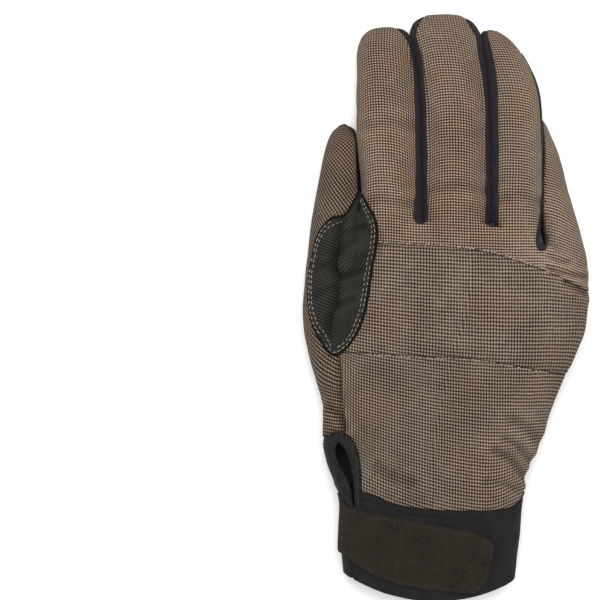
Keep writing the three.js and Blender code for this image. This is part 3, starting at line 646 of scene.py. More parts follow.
@dataclass(frozen=True)
class GloveForm:
    """The smooth outer face of the whole glove, one mesh."""

    voxel: float = 0.85
    finger_gap: float = 3.0  # kept while the form is joined, and then pressed together
    pressed_gap: float = 0.05
    pressed_past: float = 0.35  # how much more each side moves, to meet over some height
    press_ramp: float = 4.0
    press_end: float = 6.0
    press_reach: float = 8.0
    least_apart: float = 0.6
    most_moved: float = 1.7
    moved_blend: float = 1.4
    fold_depth: float = 6.5
    fold_slope: float = 3.8  # width of the fold's gentle side, on the thumb
    fold_wall: float = 1.3  # and of its steep side
    fold_start: float = 12.0
    fold_end: tuple = (32, 43)
    fold_level: tuple = (11, 17)
    crest: tuple = (0.9, 4.4, 2.6)  # height, distance from the fold, width
    overhang: tuple = (1.5, 1.7, 1.4)
    relax_all: int = 5
    relax_roots: int = 40
    root_steps: int = 10
    root_level: tuple = (13, 20)
    finger_roots: tuple = ((4, 16), (30, 42), (-44, -38))  # along: rise and fall, and across
    little_root: tuple = ((40, 46), (-16, -4), (14, 26))  # across, and along: rise and fall
    thumb_root: tuple = ((-38, -30), (-62, -44), (-16, 4))

    def apart(self, finger: Tube, neighbour: Tube) -> BMesh:
        """A finger cut clear of the neighbour that it presses on.

        Args:
            finger: the finger that is cut.
            neighbour: the one that stays whole.

        Returns:
            The cut finger.
        """
        piece = object_of(tube_mesh(finger.sections()), "finger")
        cutter = object_of(tube_mesh(neighbour.sections(self.finger_gap)), "neighbour")
        cut = piece.modifiers.new("clear", "BOOLEAN")
        cut.operation = "DIFFERENCE"
        cut.solver = "MANIFOLD"
        cut.object = cutter
        mesh = solved(piece)
        bpy.data.objects.remove(cutter)
        bm = bmesh.new()
        bm.from_mesh(mesh)
        bpy.data.meshes.remove(mesh)
        return bm

    def root_weight(self, points: Array) -> Array:
        """Where fingers and thumb leave the hand, and the form is smoothed most.

        Args:
            points: positions on the glove.

        Returns:
            A weight from 0 to 1 for each point.
        """
        x, y, z = points.T
        high = smoothstep(z, *self.root_level)
        rise, fall, across = self.finger_roots
        fingers = smoothstep(y, *rise) * (1 - smoothstep(y, *fall)) * high * smoothstep(x, *across)
        across, rise, fall = self.little_root
        little = smoothstep(x, *across) * smoothstep(y, *rise) * (1 - smoothstep(y, *fall)) * high
        across, rise, fall = self.thumb_root
        thumb = (1 - smoothstep(x, *across)) * smoothstep(y, *rise) * (1 - smoothstep(y, *fall))
        return np.clip(fingers + little + thumb, 0, 1)

    def build(self) -> Mesh:
        """Joins hand, fingers and thumb and smooths the join.

        Returns:
            The mesh, in millimetres.
        """
        whole = bmesh.new()
        parts = [tube_mesh(HAND.sections())]
        parts += [tube_mesh(tube.sections()) for tube in (INDEX, MIDDLE, RING)]
        parts += [self.apart(LITTLE, RING), self.apart(THUMB, INDEX)]
        for part in parts:
            mesh = bpy.data.meshes.new("part")
            part.to_mesh(mesh)
            part.free()
            whole.from_mesh(mesh)
            bpy.data.meshes.remove(mesh)
        obj = object_of(whole, "form")
        remesh = obj.modifiers.new("join", "REMESH")
        remesh.mode = "VOXEL"
        remesh.voxel_size = self.voxel
        relax = obj.modifiers.new("relax", "SMOOTH")
        relax.factor = 0.5
        relax.iterations = self.relax_all
        mesh = solved(obj)
        return self.relaxed_roots(mesh)

    def relaxed_roots(self, mesh: Mesh) -> Mesh:
        """Smooths the roots of the fingers further.

        Args:
            mesh: the joined form, which is used up.

        Returns:
            The finished form, pressed together and folded.
        """
        obj = bpy.data.objects.new("form", mesh)
        bpy.context.scene.collection.objects.link(obj)
        group = obj.vertex_groups.new(name="roots")
        weights = self.root_weight(vertex_places(mesh))
        half_step = 0.5 / self.root_steps
        for step in range(1, self.root_steps + 1):
            level = step / self.root_steps
            chosen = np.nonzero(np.abs(weights - level) <= half_step)[0]
            if step == 1:
                chosen = np.nonzero((weights > 0.02) & (weights <= level + half_step))[0]
            group.add([int(i) for i in chosen], level, "REPLACE")
        relax = obj.modifiers.new("relax", "SMOOTH")
        relax.factor = 0.5
        relax.iterations = self.relax_roots
        relax.vertex_group = group.name
        mesh = solved(obj)
        points = self.folded(self.pressed(vertex_places(mesh)))
        mesh.vertices.foreach_set("co", points.astype(np.float32).ravel())
        mesh.update()
        return mesh

    def pressed(self, points: Array) -> Array:
        """Closes the gaps between neighbouring fingers to a thin line.

        Args:
            points: positions on the glove.

        Returns:
            The moved points.
        """
        result = points.copy()
        x, y, _ = points.T
        for left, right, start, end in PRESSED:
            walls = [np.interp(y, tube.table[:, 0], tube.table[:, column])
                     for tube, column in ((left, 2), (right, 1))]
            half = np.maximum(walls[1] - walls[0], self.least_apart) / 2
            s = x - (walls[0] + walls[1]) / 2
            amount = np.clip(half + self.pressed_past, 0, self.most_moved)
            outside = 1 - smoothstep(np.abs(s) - half, 0, self.press_reach)
            near = np.where(np.abs(s) < half, np.abs(s) / half, outside)
            reach = smoothstep(y, start, start + self.press_ramp)
            reach = reach * (1 - smoothstep(y, end, end + self.press_end))
            moved = np.abs(s) - amount * near * reach
            least = np.minimum(self.pressed_gap / 2, np.abs(s))
            result[:, 0] += np.sign(s) * (np.maximum(moved, least) - np.abs(s))
        for tube, neighbour, column, side in ((LITTLE, RING, 2, 1), (THUMB, INDEX, 1, -1)):
            wall = np.interp(y, neighbour.table[:, 0], neighbour.table[:, column])
            wall = wall + side * self.finger_gap / 2
            own = smoothstep(side * (x - wall), -self.moved_blend, self.moved_blend)
            result[:, 0] -= tube.spread * smoothstep(y, *tube.spread_rise) * own
        return result

    def folded(self, points: Array) -> Array:
        """Sinks the fold between thumb and hand, whose hand side hangs over it.

        Args:
            points: positions on the glove.

        Returns:
            The moved points.
        """
        x, y, z = points.T
        side = x - line_x_at(WEB_VALLEY, y)
        start = WEB_VALLEY[0][1]
        reach = smoothstep(y, start, start + self.fold_start) * (1 - smoothstep(y, *self.fold_end))
        reach = reach * smoothstep(z, *self.fold_level)
        width = np.where(side < 0, self.fold_slope, self.fold_wall)
        sunk = self.fold_depth * np.exp(-((side / width) ** 2))
        crest, overhang = (height * np.exp(-(((side - place) / wide) ** 2))
                           for height, place, wide in (self.crest, self.overhang))
        result = points.copy()
        result[:, 2] += (crest - sunk) * reach
        result[:, 0] -= overhang * reach
        return result


def vertex_places(mesh: Mesh) -> Array:
    """Positions of a mesh's vertices.

    Args:
        mesh: the mesh.

    Returns:
        One row for each vertex.
    """
    flat = np.zeros(len(mesh.vertices) * 3, np.float32)
    mesh.vertices.foreach_get("co", flat)
    return flat.reshape(-1, 3).astype(float)


def bm_places(bm: BMesh) -> Array:
    """Positions of a bmesh's vertices."""
    return np.array([vert.co[:] for vert in bm.verts])


def cut_along(bm: BMesh, values: Array, snap: float = 0.04) -> None:
    """Splits faces where a value of the vertices passes through zero.

    Args:
        bm: the mesh, with a vertex layer named place.
        values: one number for each vertex.
        snap: vertices whose value is nearer to zero count as on the line.
    """
    place = bm.verts.layers.float_vector["place"]
    for vert, value in zip(bm.verts, values.tolist()):
        vert[place] = vert.co
        vert.co.x = value
    bmesh.ops.bisect_plane(bm, geom=[*bm.verts, *bm.edges, *bm.faces], dist=snap,
                           plane_co=(0, 0, 0), plane_no=(1, 0, 0))
    for vert in bm.verts:
        vert.co = vert[place]


class Part(Enum):
    """The panels that the glove's outer face is cut into."""

    FINGER_BACK = 0
    KNUCKLE = 1
    HAND_BACK = 2
    THUMB_BACK = 3
    STRIP_IM = 4
    STRIP_MR = 5
    STRIP_RL = 6
    PALM = 7
    BINDING = 8
    OPENING = 9
    CUFF = 10


@dataclass
class Skin:
    """The outer face of the glove, cut along its seams and sorted into panels."""

    form: Mesh
    crotches: tuple = ((36.0, 1.8), (35.0, 5.2), (25.0, 0.0))  # a strip's end, and its reach below it
    crotch_level: tuple = (23.0, 26.8)
    crotch_run: float = 9.0
    crotch_spread: float = 0.06
    parted_from: float = 46.0  # from there on the little finger stands clear of the ring finger
    parted_gap: float = 0.45
    little_left: float = 28.0  # no part of the little finger lies left of this
    little_walls: float = 36.0  # beyond this y its inner side is woven cloth
    thumb_right: float = -30.0
    heel: tuple = (0.0, 36.0)  # low on the side of the thumb, left of this x and before this y

    def __post_init__(self) -> None:
        """Takes the smooth form as a mesh that can be cut."""
        self.bm = bmesh.new()
        self.bm.from_mesh(self.form)
        self.bm.normal_update()
        self.bm.verts.layers.float_vector.new("place")
        outward = self.bm.verts.layers.float_vector.new("outward")
        for vert in self.bm.verts:
            vert[outward] = vert.normal
        self.strips = [strip_outline(rows) for rows in
                       (STRIP_INDEX_MIDDLE, STRIP_MIDDLE_RING, STRIP_RING_LITTLE)]
        self.vent = Outline(VENT_OUTER)
        self.hole = Outline(VENT_HOLE)

    def fields(self) -> list[Measure]:
        """Every line that a seam runs along, as a function that is zero there.

        Returns:
            The functions.
        """
        return [
            lambda p: p[:, 1] - HAND.mouth(p[:, 0]),
            lambda p: p[:, 2] - side_level(p),
            lambda p: p[:, 2] - line_x_at([(z, y) for y, z in INNER_SEAM], p[:, 1]),
            lambda p: p[:, 0] - line_x_at(PALM_SEAM, p[:, 1]),
            lambda p: p[:, 0] - line_x_at(THUMB_SEAM, p[:, 1]),
            lambda p: p[:, 1] - line_at(UPPER_KNUCKLE_SEAM, p[:, 0]),
            lambda p: p[:, 1] - line_at(LOWER_KNUCKLE_SEAM, p[:, 0]),
            lambda p: p[:, 1] - line_at(HEM, p[:, 0]),
            self.thumb_tip,
            lambda p: p[:, 2] - VENT_LOWEST,
            lambda p: self.strip(0, p),
            lambda p: self.strip(1, p),
            lambda p: self.strip(2, p),
            lambda p: self.near_strips(p) - INNER_REACH,
            lambda p: self.vent.signed(p),
            lambda p: self.hole.signed(p),
        ]

    def strip(self, index: int, points: Array) -> Array:
        """Distance to one side strip, negative on it; deep in its crotch it reaches further back.

        Args:
            index: which strip, from the index finger on.
            points: positions on the glove.

        Returns:
            One distance for each point.
        """
        start, undercut = self.crotches[index]
        deep = 1 - smoothstep(points[:, 2], *self.crotch_level)
        deep = deep * (1 - smoothstep(points[:, 1], start, start + self.crotch_run))
        lowered = points.copy()
        lowered[:, 1] += undercut * deep
        return self.strips[index].signed(lowered) - self.crotch_spread * undercut * deep**2

    def thumb_tip(self, points: Array) -> Array:
        """Distance from the seam over the tip of the thumb, 1 before the seam starts."""
        beyond = points[:, 0] - line_x_at(THUMB_TIP_SEAM, points[:, 1])
        return np.where(points[:, 1] > THUMB_TIP_START, beyond, 1.0)

    def near_strips(self, points: Array) -> Array:
        """Distance to the nearest side strip, seen from above."""
        return np.minimum.reduce([strip.signed(points) for strip in self.strips])

    def cut(self) -> None:
        """Cuts the skin along every line."""
        for measure in self.fields():
            cut_along(self.bm, measure(bm_places(self.bm)))
        spots = face_places(self.bm)
        beyond = (spots[:, 1] < HAND.mouth(spots[:, 0])).tolist()
        doomed = [face for face, gone in zip(self.bm.faces, beyond) if gone]
        bmesh.ops.delete(self.bm, geom=doomed, context="FACES")
        self.sort()

    def sort(self) -> None:
        """Tells which panel each face belongs to."""
        spots = face_places(self.bm)
        x, y, z = spots.T
        strip_im, strip_mr, strip_rl = (self.strip(k, spots) < 0 for k in range(3))
        off_ring = np.where(y > self.parted_from, RING.reach(spots) > self.parted_gap,
                            LITTLE.reach(spots) < RING.reach(spots))
        on_little = off_ring & (y > LITTLE_CROTCH) & (x > self.little_left)
        strip_rl &= ~on_little
        low = z < side_level(spots)
        inner = z < line_x_at([(level, at) for at, level in INNER_SEAM], y)
        inner &= (self.near_strips(spots) < INNER_REACH) & ~(on_little & (y > self.little_walls))
        palm = (low & (x > line_x_at(PALM_SEAM, y))) | inner
        on_thumb = THUMB.reach(spots) < INDEX.reach(spots)
        on_thumb &= (y > THUMB_CROTCH) & (x < self.thumb_right)
        on_heel = low & (x < self.heel[0]) & (y < self.heel[1])
        hand_side = (x > line_x_at(THUMB_SEAM, y)) & ~on_heel
        result = np.full(len(spots), Part.FINGER_BACK.value)
        result[y < line_at(UPPER_KNUCKLE_SEAM, x)] = Part.KNUCKLE.value
        result[y < line_at(LOWER_KNUCKLE_SEAM, x)] = Part.HAND_BACK.value
        result[~hand_side | on_thumb] = Part.THUMB_BACK.value
        tip = on_thumb & (y > THUMB_TIP_START) & (x > line_x_at(THUMB_TIP_SEAM, y))
        result[palm | tip] = Part.PALM.value
        result[strip_im] = Part.STRIP_IM.value
        result[strip_mr] = Part.STRIP_MR.value
        result[strip_rl] = Part.STRIP_RL.value
        result[y < line_at(HEM, x)] = Part.CUFF.value
        vent = (self.vent.signed(spots) < 0) & (z > VENT_LOWEST)
        result[vent] = Part.BINDING.value
        result[vent & (self.hole.signed(spots) < 0)] = Part.OPENING.value
        self.parts = result

    def take(self, keep: Array) -> BMesh:
        """Copy of the faces that a mask keeps.

        Args:
            keep: True for each face that stays.

        Returns:
            The copy.
        """
        bm = self.bm.copy()
        doomed = [face for face, kept in zip(bm.faces, keep.tolist()) if not kept]
        bmesh.ops.delete(bm, geom=doomed, context="FACES")
        return bm


class ShaderTree:
    """Node tree of one finish, built up call by call."""

    sheen_roughness = 0.45
    sheen_tint = (1, 0.92, 0.84, 1)

    def __init__(self, name: str, roughness: float, sheen: float = 0.0, gloss: float = 0.08) -> None:
        """Makes the material with its plain values on the shader's own sockets.

        Args:
            name: the material's name.
            roughness: its roughness.
            sheen: weight of the cloth's sheen.
            gloss: specular level.
        """
        self.material = bpy.data.materials.new(name)
        self.material.use_nodes = True
        self.tree = self.material.node_tree
        self.shader = self.tree.nodes["Principled BSDF"]
        self.shader.inputs["Roughness"].default_value = roughness
        self.shader.inputs["Specular IOR Level"].default_value = gloss
        self.shader.inputs["Sheen Weight"].default_value = sheen
        self.shader.inputs["Sheen Roughness"].default_value = self.sheen_roughness
        self.shader.inputs["Sheen Tint"].default_value = self.sheen_tint

    def node(self, kind: str, inputs: dict | None = None, **settings: object) -> bpy.types.Node:
        """Adds a node.

        Args:
            kind: the node's type without ShaderNode.
            inputs: socket name or number to a value or to the socket that feeds it.
            settings: the node's own settings.

        Returns:
            The node.
        """
        node = self.tree.nodes.new("ShaderNode" + kind)
        for key, value in settings.items():
            setattr(node, key, value)
        for key, value in (inputs or {}).items():
            if isinstance(value, Socket):
                self.tree.links.new(value, node.inputs[key])
            else:
                node.inputs[key].default_value = value
        return node

    def math(self, operation: str, first: object, second: object = 0.0, third: object = 0.0) -> Socket:
        """Result of a sum of up to three values."""
        return self.node("Math", {0: first, 1: second, 2: third}, operation=operation).outputs[0]

    def ease(self, value: Socket, low: float, high: float, to: tuple = (0.0, 1.0)) -> Socket:
        """Value brought from between low and high to another span, smoothly."""
        inputs = {"Value": value, "From Min": low, "From Max": high, "To Min": to[0], "To Max": to[1]}
        return self.node("MapRange", inputs, interpolation_type="SMOOTHSTEP").outputs[0]

    def mix(self, share: object, first: object, second: object, blend: str = "MIX") -> Socket:
        """Colour between two colours.

        Args:
            share: how much of the second shows.
            first: a colour, or the socket that gives it.
            second: the other colour.
            blend: how they are mixed.

        Returns:
            The mixed colour.
        """
        colours = [(*c, 1) if isinstance(c, tuple) and len(c) == 3 else c for c in (first, second)]
        inputs = {0: share, 6: colours[0], 7: colours[1]}
        return self.node("Mix", inputs, data_type="RGBA", blend_type=blend).outputs[2]

    def places(self) -> Socket:
        """Object coordinates in millimetres."""
        scale = {0: self.node("TexCoord").outputs["Object"], 1: (1000, 1000, 1000)}
        return self.node("VectorMath", scale, operation="MULTIPLY").outputs[0]

    def whole(self, vector: Socket) -> Socket:
        """Each coordinate rounded down to a whole number."""
        return self.node("VectorMath", {0: vector}, operation="FLOOR").outputs[0]

    def noise(self, places: Socket, scale: float, detail: float = 2.0) -> Socket:
        """Smooth random value from 0 to 1."""
        inputs = {"Vector": places, "Scale": scale, "Detail": detail, "Roughness": 0.55}
        return self.node("TexNoise", inputs).outputs[0]

    def bump(self, height: Socket, depth: float, strength: float = 1.0) -> Socket:
        """Normal of a height that is depth millimetres tall."""
        inputs = {"Height": height, "Distance": depth * MM, "Strength": strength}
        return self.node("Bump", inputs).outputs[0]

    def finish(self, colour: Socket, normal: Socket) -> Material:
        """Feeds the shader and returns the material.

        Args:
            colour: the base colour.
            normal: the bumped normal.

        Returns:
            The material.
        """
        self.tree.links.new(colour, self.shader.inputs["Base Color"])
        self.tree.links.new(normal, self.shader.inputs["Normal"])
        return self.material


@dataclass(frozen=True)
class WovenCloth:
    """Ribbed basket weave: light thread, with painted shade in the grooves and holes between rows and
    columns and a painted highlight on the top of each thread.
    """

    name: str
    thread: tuple
    # hole is the colour of the painted shade in the grooves, holes and along the edges, and also of the dark
    # fibres and the black rim
    hole: tuple
    shade: tuple  # thread colour where the cloth is a little darker
    knob_highlight: tuple  # painted highlight on the top of each thread
    warm: tuple  # thread colour in a few warmer patches
    row_shade: float = 0.57  # how dark the painted shade in the grooves between rows is
    column_shade: float = 0.49
    hole_shade: float = 0.96  # how dark the painted shade in the holes where grooves cross is
    plain_from: float = 28.0  # right of this x the columns fade
    plain_over: float = 26.0
    plain_share: float = 0.45  # to this share
    # edge_reach and edge_shade: painted shade along the panel's edges at its seams, how far it reaches and
    # how much of the colour is left at the edge
    edge_reach: float = 0.7
    edge_shade: float = 0.35
    rim: float = 0.0  # width of a plain black turned edge
    drift: float = 0.34
    sheen: float = 0.03
    fold_shade_and_highlight: tuple = (0.66, 1.22)  # painted shade deep in a fold and painted highlight on its crest

    def material(self) -> Material:
        """Builds the node tree.

        Returns:
            The material.
        """
        tree = ShaderTree(self.name, 0.85, self.sheen)
        places = tree.places()
        cloth = self.drifting(tree)
        split = tree.node("SeparateXYZ", {0: cloth})
        across, along = (self.wave(tree, split.outputs[k]) for k in (0, 1))
        # Painted shade in the grooves between rows and columns and in the holes where they cross; lit is
        # what is left of the light
        groove = self.groove(tree, along, self.row_shade, 1.0, self.strength(tree, places, 0.05, 0.86))
        x = tree.node("SeparateXYZ", {0: places}).outputs[0]
        plain = self.plain_from + self.plain_over
        fades = tree.ease(x, self.plain_from, plain, (1.0, self.plain_share))
        varied = tree.math("MULTIPLY", self.strength(tree, places, 0.06, 0.68), fades)
        slot = self.groove(tree, across, self.column_shade, 1.3, varied)
        chance = tree.node("TexWhiteNoise", {"Vector": tree.whole(cloth)}, noise_dimensions="3D").outputs[0]
        open_share = tree.math("MULTIPLY_ADD", varied, 0.5, tree.math("MULTIPLY_ADD", chance, 0.45, 0.3))
        deep = tree.math("MULTIPLY", tree.math("MULTIPLY", across, along), open_share)
        hole = tree.ease(deep, 0.10, 0.62, (1.0, 1.0 - self.hole_shade))
        lit = tree.math("MULTIPLY", tree.math("MULTIPLY", groove, slot), hole)
        fibre = tree.noise(places, 5.5, 2.0)
        thread = self.thread_colour(tree, places, cloth, fibre)
        # Painted highlight on the top of each thread, where the weave is most lit
        thread = tree.mix(tree.ease(lit, 0.5, 0.98, (0.0, 0.6)), thread, self.knob_highlight)
        edge = tree.node("Attribute", attribute_name="from_edge").outputs["Fac"]
        # Painted shade along the panel's edges, at the seams
        seam = tree.ease(edge, 0.0, self.edge_reach, (self.edge_shade, 1.0))
        colour = tree.mix(tree.math("MULTIPLY", lit, seam), self.hole, thread)
        if self.rim:
            colour = tree.mix(tree.ease(edge, self.rim - 0.15, self.rim + 0.15), self.hole, colour)
        # Painted shade deep in folds and painted highlight on their crests, read from the fold attribute
        fold = tree.node("Attribute", attribute_name="fold").outputs["Fac"]
        colour = tree.mix(1.0, colour, tree.ease(fold, -0.7, 0.5, self.fold_shade_and_highlight), "MULTIPLY")
        height = tree.math("ADD", tree.math("MULTIPLY", fibre, 0.15), lit)
        return tree.finish(colour, tree.bump(height, 0.3, 0.7))

    def drifting(self, tree: ShaderTree) -> Socket:
        """Cloth coordinates in threads, a little uneven.

        Args:
            tree: the finish that it is built in.

        Returns:
            The coordinates.
        """
        cloth = tree.node("UVMap", uv_map="cloth").outputs[0]
        drift = tree.node("TexNoise", {"Vector": cloth, "Scale": 0.35, "Detail": 2.0}).outputs[1]
        drift = tree.node("VectorMath", {0: drift, 1: (0.5, 0.5, 0.5)}, operation="SUBTRACT").outputs[0]
        drift = tree.node("VectorMath", {0: drift, "Scale": self.drift}, operation="SCALE").outputs[0]
        return tree.node("VectorMath", {0: cloth, 1: drift}, operation="ADD").outputs[0]

    def strength(self, tree: ShaderTree, places: Socket, scale: float, least: float) -> Socket:
        """How clearly grooves show, from place to place."""
        return tree.ease(tree.noise(places, scale, 3.0), 0.38, 0.64, (least, 1.0))

    def thread_colour(self, tree: ShaderTree, places: Socket, cloth: Socket, fibre: Socket) -> Socket:
        """Colour of the thread, with patches, uneven cells and fibres.

        Args:
            tree: the finish that it is built in.
            places: object coordinates in millimetres.
            cloth: cloth coordinates in threads.
            fibre: a fine random value.

        Returns:
            The colour.
        """
        middle = {0: cloth, 1: (0.5, 0.5, 0.5)}
        cell = tree.whole(tree.node("VectorMath", middle, operation="ADD").outputs[0])
        chance = tree.node("TexWhiteNoise", {"Vector": cell}, noise_dimensions="3D").outputs[0]
        thread = tree.mix(tree.ease(tree.noise(places, 0.05, 4.0), 0.36, 0.66), self.thread, self.shade)
        warmer = tree.ease(tree.noise(places, 0.036, 3.0), 0.46, 0.62, (0.0, 0.9))
        thread = tree.mix(warmer, thread, self.warm)
        thread = tree.mix(tree.math("MULTIPLY", chance, 0.55), thread, self.shade)
        return tree.mix(tree.ease(fibre, 0.3, 0.75, (0.0, 0.3)), thread, self.hole)

    def groove(self, tree: ShaderTree, wave: Socket, shade: float, power: float, strength: Socket) -> Socket:
        """1 on a thread, less in the groove beside it."""
        depth = tree.math("MULTIPLY", tree.math("POWER", wave, power), strength)
        return tree.math("MULTIPLY_ADD", depth, -shade, 1.0)

    def wave(self, tree: ShaderTree, value: Socket) -> Socket:
        """0 on every thread and 1 halfway between two."""
        turned = tree.math("COSINE", tree.math("MULTIPLY", value, 2 * math.pi))
        return tree.math("MULTIPLY_ADD", turned, -0.5, 0.5)


@dataclass(frozen=True)
class Suede:
    """Synthetic suede with a short nap that lies in patches."""

    name: str
    dark: tuple
    light: tuple

    def material(self) -> Material:
        """Builds the node tree.

        Returns:
            The material.
        """
        tree = ShaderTree(self.name, 0.95, 0.06, 0.05)
        places = tree.places()
        nap = tree.ease(tree.noise(places, 0.12, 4.0), 0.35, 0.7)
        fine = tree.noise(places, 3.2, 3.0)
        colour = tree.mix(nap, self.dark, self.light)
        colour = tree.mix(tree.ease(fine, 0.35, 0.7, (0.0, 0.5)), colour, self.light)
        height = tree.math("ADD", fine, tree.math("MULTIPLY", tree.noise(places, 0.6, 2.0), 0.7))
        return tree.finish(colour, tree.bump(height, 0.16, 0.8))


@dataclass(frozen=True)
class RibbedCloth:
    """Cloth with fine parallel ribs in object coordinates."""

    name: str
    dark: tuple
    light: tuple
    pitch: float
    turn: float  # degrees between the ribs and the hand
    roughness: float = 0.7
    sheen: float = 0.2
    depth: float = 0.16
    cross: float = 0.0  # how much a second set of ribs shows across the first

    def material(self) -> Material:
        """Builds the node tree.

        Returns:
            The material.
        """
        tree = ShaderTree(self.name, self.roughness, self.sheen)
        places = tree.places()
        turned = tree.node("VectorRotate", {"Vector": places, "Angle": math.radians(self.turn)},
                           rotation_type="Z_AXIS").outputs[0]
        split = tree.node("SeparateXYZ", {0: turned})
        wobble = tree.math("MULTIPLY", tree.noise(places, 0.25, 2.0), 1.6)
        ribs = [self.ribs(tree, tree.math("ADD", split.outputs[k], wobble)) for k in (0, 1)]
        height = tree.math("ADD", ribs[0], tree.math("MULTIPLY", ribs[1], self.cross))
        fine = tree.noise(places, 4.0, 2.0)
        worn = tree.ease(tree.noise(places, 0.09, 3.0), 0.35, 0.75, (0.0, 0.35))
        # Painted highlight on the rib crests and painted shade between them, plus lighter worn patches at
        # random
        share = tree.math("ADD", tree.ease(height, 0.1, 1.0 + self.cross, (0.0, 0.7)), worn)
        colour = tree.mix(share, self.dark, self.light)
        height = tree.math("ADD", height, tree.math("MULTIPLY", fine, 0.35))
        return tree.finish(colour, tree.bump(height, self.depth))

    def ribs(self, tree: ShaderTree, value: Socket) -> Socket:
        """Rounded ribs across a value in millimetres."""
        turned = tree.math("COSINE", tree.math("MULTIPLY", value, 2 * math.pi / self.pitch))
        return tree.math("MULTIPLY_ADD", turned, 0.5, 0.5)


@dataclass(frozen=True)
class LoopPile:
    """Dark fuzzy loop pile, with lighter loops here and there."""

    name: str
    dark: tuple
    light: tuple
    flecks: float = 0.5
    grain: float = 2.4

    def material(self) -> Material:
        """Builds the node tree.

        Returns:
            The material.
        """
        tree = ShaderTree(self.name, 0.95, 0.04, 0.05)
        places = tree.places()
        loops = tree.node("TexVoronoi", {"Vector": places, "Scale": self.grain}).outputs[0]
        fuzz = tree.noise(places, self.grain * 1.7, 3.0)
        patches = tree.ease(tree.noise(places, 0.12, 3.0), 0.3, 0.7, (0.0, 0.35))
        grain = tree.ease(tree.noise(places, self.grain * 0.55, 3.0), 0.34, 0.66, (0.0, 0.65))
        colour = tree.mix(tree.math("ADD", patches, grain), self.dark, self.light)
        flecks = tree.ease(tree.noise(places, self.grain * 0.8, 1.0), 0.68, 0.8, (0.0, self.flecks))
        colour = tree.mix(flecks, colour, tuple(min(1.0, 3.0 * c + 0.01) for c in self.light))
        height = tree.math("SUBTRACT", fuzz, tree.math("MULTIPLY", loops, 0.8))
        return tree.finish(colour, tree.bump(height, 0.3))


@dataclass(frozen=True)
class SmoothBinding:
    """Folded stretch binding with a faint lengthwise grain."""

    name: str
    dark: tuple
    light: tuple
    turn: float = 1.1  # from one fold of the binding to the next

    def material(self) -> Material:
        """Builds the node tree.

        Returns:
            The material.
        """
        tree = ShaderTree(self.name, 0.7, 0.02, 0.06)
        places = tree.places()
        long = tree.node("Mapping", {"Vector": places, "Scale": (1.0, 0.18, 1.0)}).outputs[0]
        grain = tree.noise(long, 1.6, 3.0)
        fine = tree.noise(places, 5.0, 2.0)
        edge = tree.node("Attribute", attribute_name="from_edge").outputs["Fac"]
        # Painted shade and painted highlight in bands along the edge, for the folds of the binding
        turns = tree.math("COSINE", tree.math("MULTIPLY", edge, 2 * math.pi / self.turn))
        turns = tree.math("MULTIPLY_ADD", turns, 0.22, 0.1)
        share = tree.math("ADD", turns, tree.ease(grain, 0.3, 0.75))
        colour = tree.mix(share, self.dark, self.light)
        height = tree.math("ADD", tree.math("MULTIPLY", grain, 1.0), tree.math("MULTIPLY", fine, 0.4))
        return tree.finish(colour, tree.bump(height, 0.14, 0.7))


@dataclass(frozen=True)
class SewingThread:
    """Twisted sewing thread."""

    name: str
    light: tuple
    dark: tuple

    def material(self) -> Material:
        """Builds the node tree.

        Returns:
            The material.
        """
        tree = ShaderTree(self.name, 0.65, 0.05, 0.2)
        places = tree.places()
        twist = tree.noise(places, 4.5, 1.0)
        colour = tree.mix(tree.ease(twist, 0.3, 0.75), self.dark, self.light)
        return tree.finish(colour, tree.bump(twist, 0.12))


# The four taupe finishes are one woven cloth in the same slot; their brightness is tuned panel by panel and
# so in part paints the light and shade that each panel gets
TAUPE_FINGERS = WovenCloth(
    "woven_taupe_fingers", (0.206, 0.1465, 0.105), (0.015, 0.008, 0.005), (0.144, 0.099, 0.069),
    (0.43, 0.337, 0.26), (0.196, 0.115, 0.061), plain_from=25.0, plain_over=13.0, plain_share=0.36)
TAUPE_KNUCKLE = WovenCloth(
    "woven_taupe_knuckles", (0.174, 0.129, 0.095), (0.013, 0.0075, 0.005), (0.120, 0.086, 0.062),
    (0.325, 0.259, 0.203), (0.163, 0.106, 0.063), row_shade=0.48, column_shade=0.46, plain_share=0.62)
TAUPE_HAND = WovenCloth(
    "woven_taupe_hand", (0.163, 0.122, 0.090), (0.012, 0.007, 0.0045), (0.115, 0.083, 0.060),
    (0.305, 0.244, 0.192), (0.152, 0.101, 0.061), row_shade=0.48, column_shade=0.45, plain_from=18)
# The thumb's edge_reach and edge_shade paint shade 3.5 mm wide along every edge of its back, meant for its
# flank that turns down under the index finger
TAUPE_THUMB = WovenCloth(
    "woven_taupe_thumb", (0.152, 0.108, 0.075), (0.010, 0.006, 0.0035), (0.105, 0.071, 0.047),
    (0.31, 0.238, 0.178), (0.142, 0.090, 0.052), row_shade=0.84, column_shade=0.36,
    edge_reach=3.5, edge_shade=0.5)
WEB_CLOTH = WovenCloth(
    "web_ribbed", (0.0225, 0.0215, 0.0180), (0.0045, 0.0043, 0.0038), (0.0165, 0.0160, 0.0135),
    (0.042, 0.040, 0.034), (0.0205, 0.0205, 0.0155), row_shade=0.62, column_shade=0.22, hole_shade=0.3,
    rim=1.05, drift=0.2)
SIDE_STRETCH = RibbedCloth("side_stretch", (0.010, 0.0095, 0.011), (0.025, 0.0235, 0.027), 0.7, 8,
                           roughness=0.8, sheen=0.03, depth=0.16)
PALM_SUEDE = Suede("palm_suede", (0.014, 0.0105, 0.0088), (0.033, 0.026, 0.022))
GRIP_RIB = RibbedCloth("grip_ribbed", (0.014, 0.013, 0.012), (0.045, 0.042, 0.038), 0.95, 42,
                       roughness=0.6, sheen=0.03, depth=0.2, cross=0.35)
BINDING_BLACK = SmoothBinding("vent_binding_black", (0.0050, 0.0050, 0.0054), (0.0215, 0.0205, 0.0195))
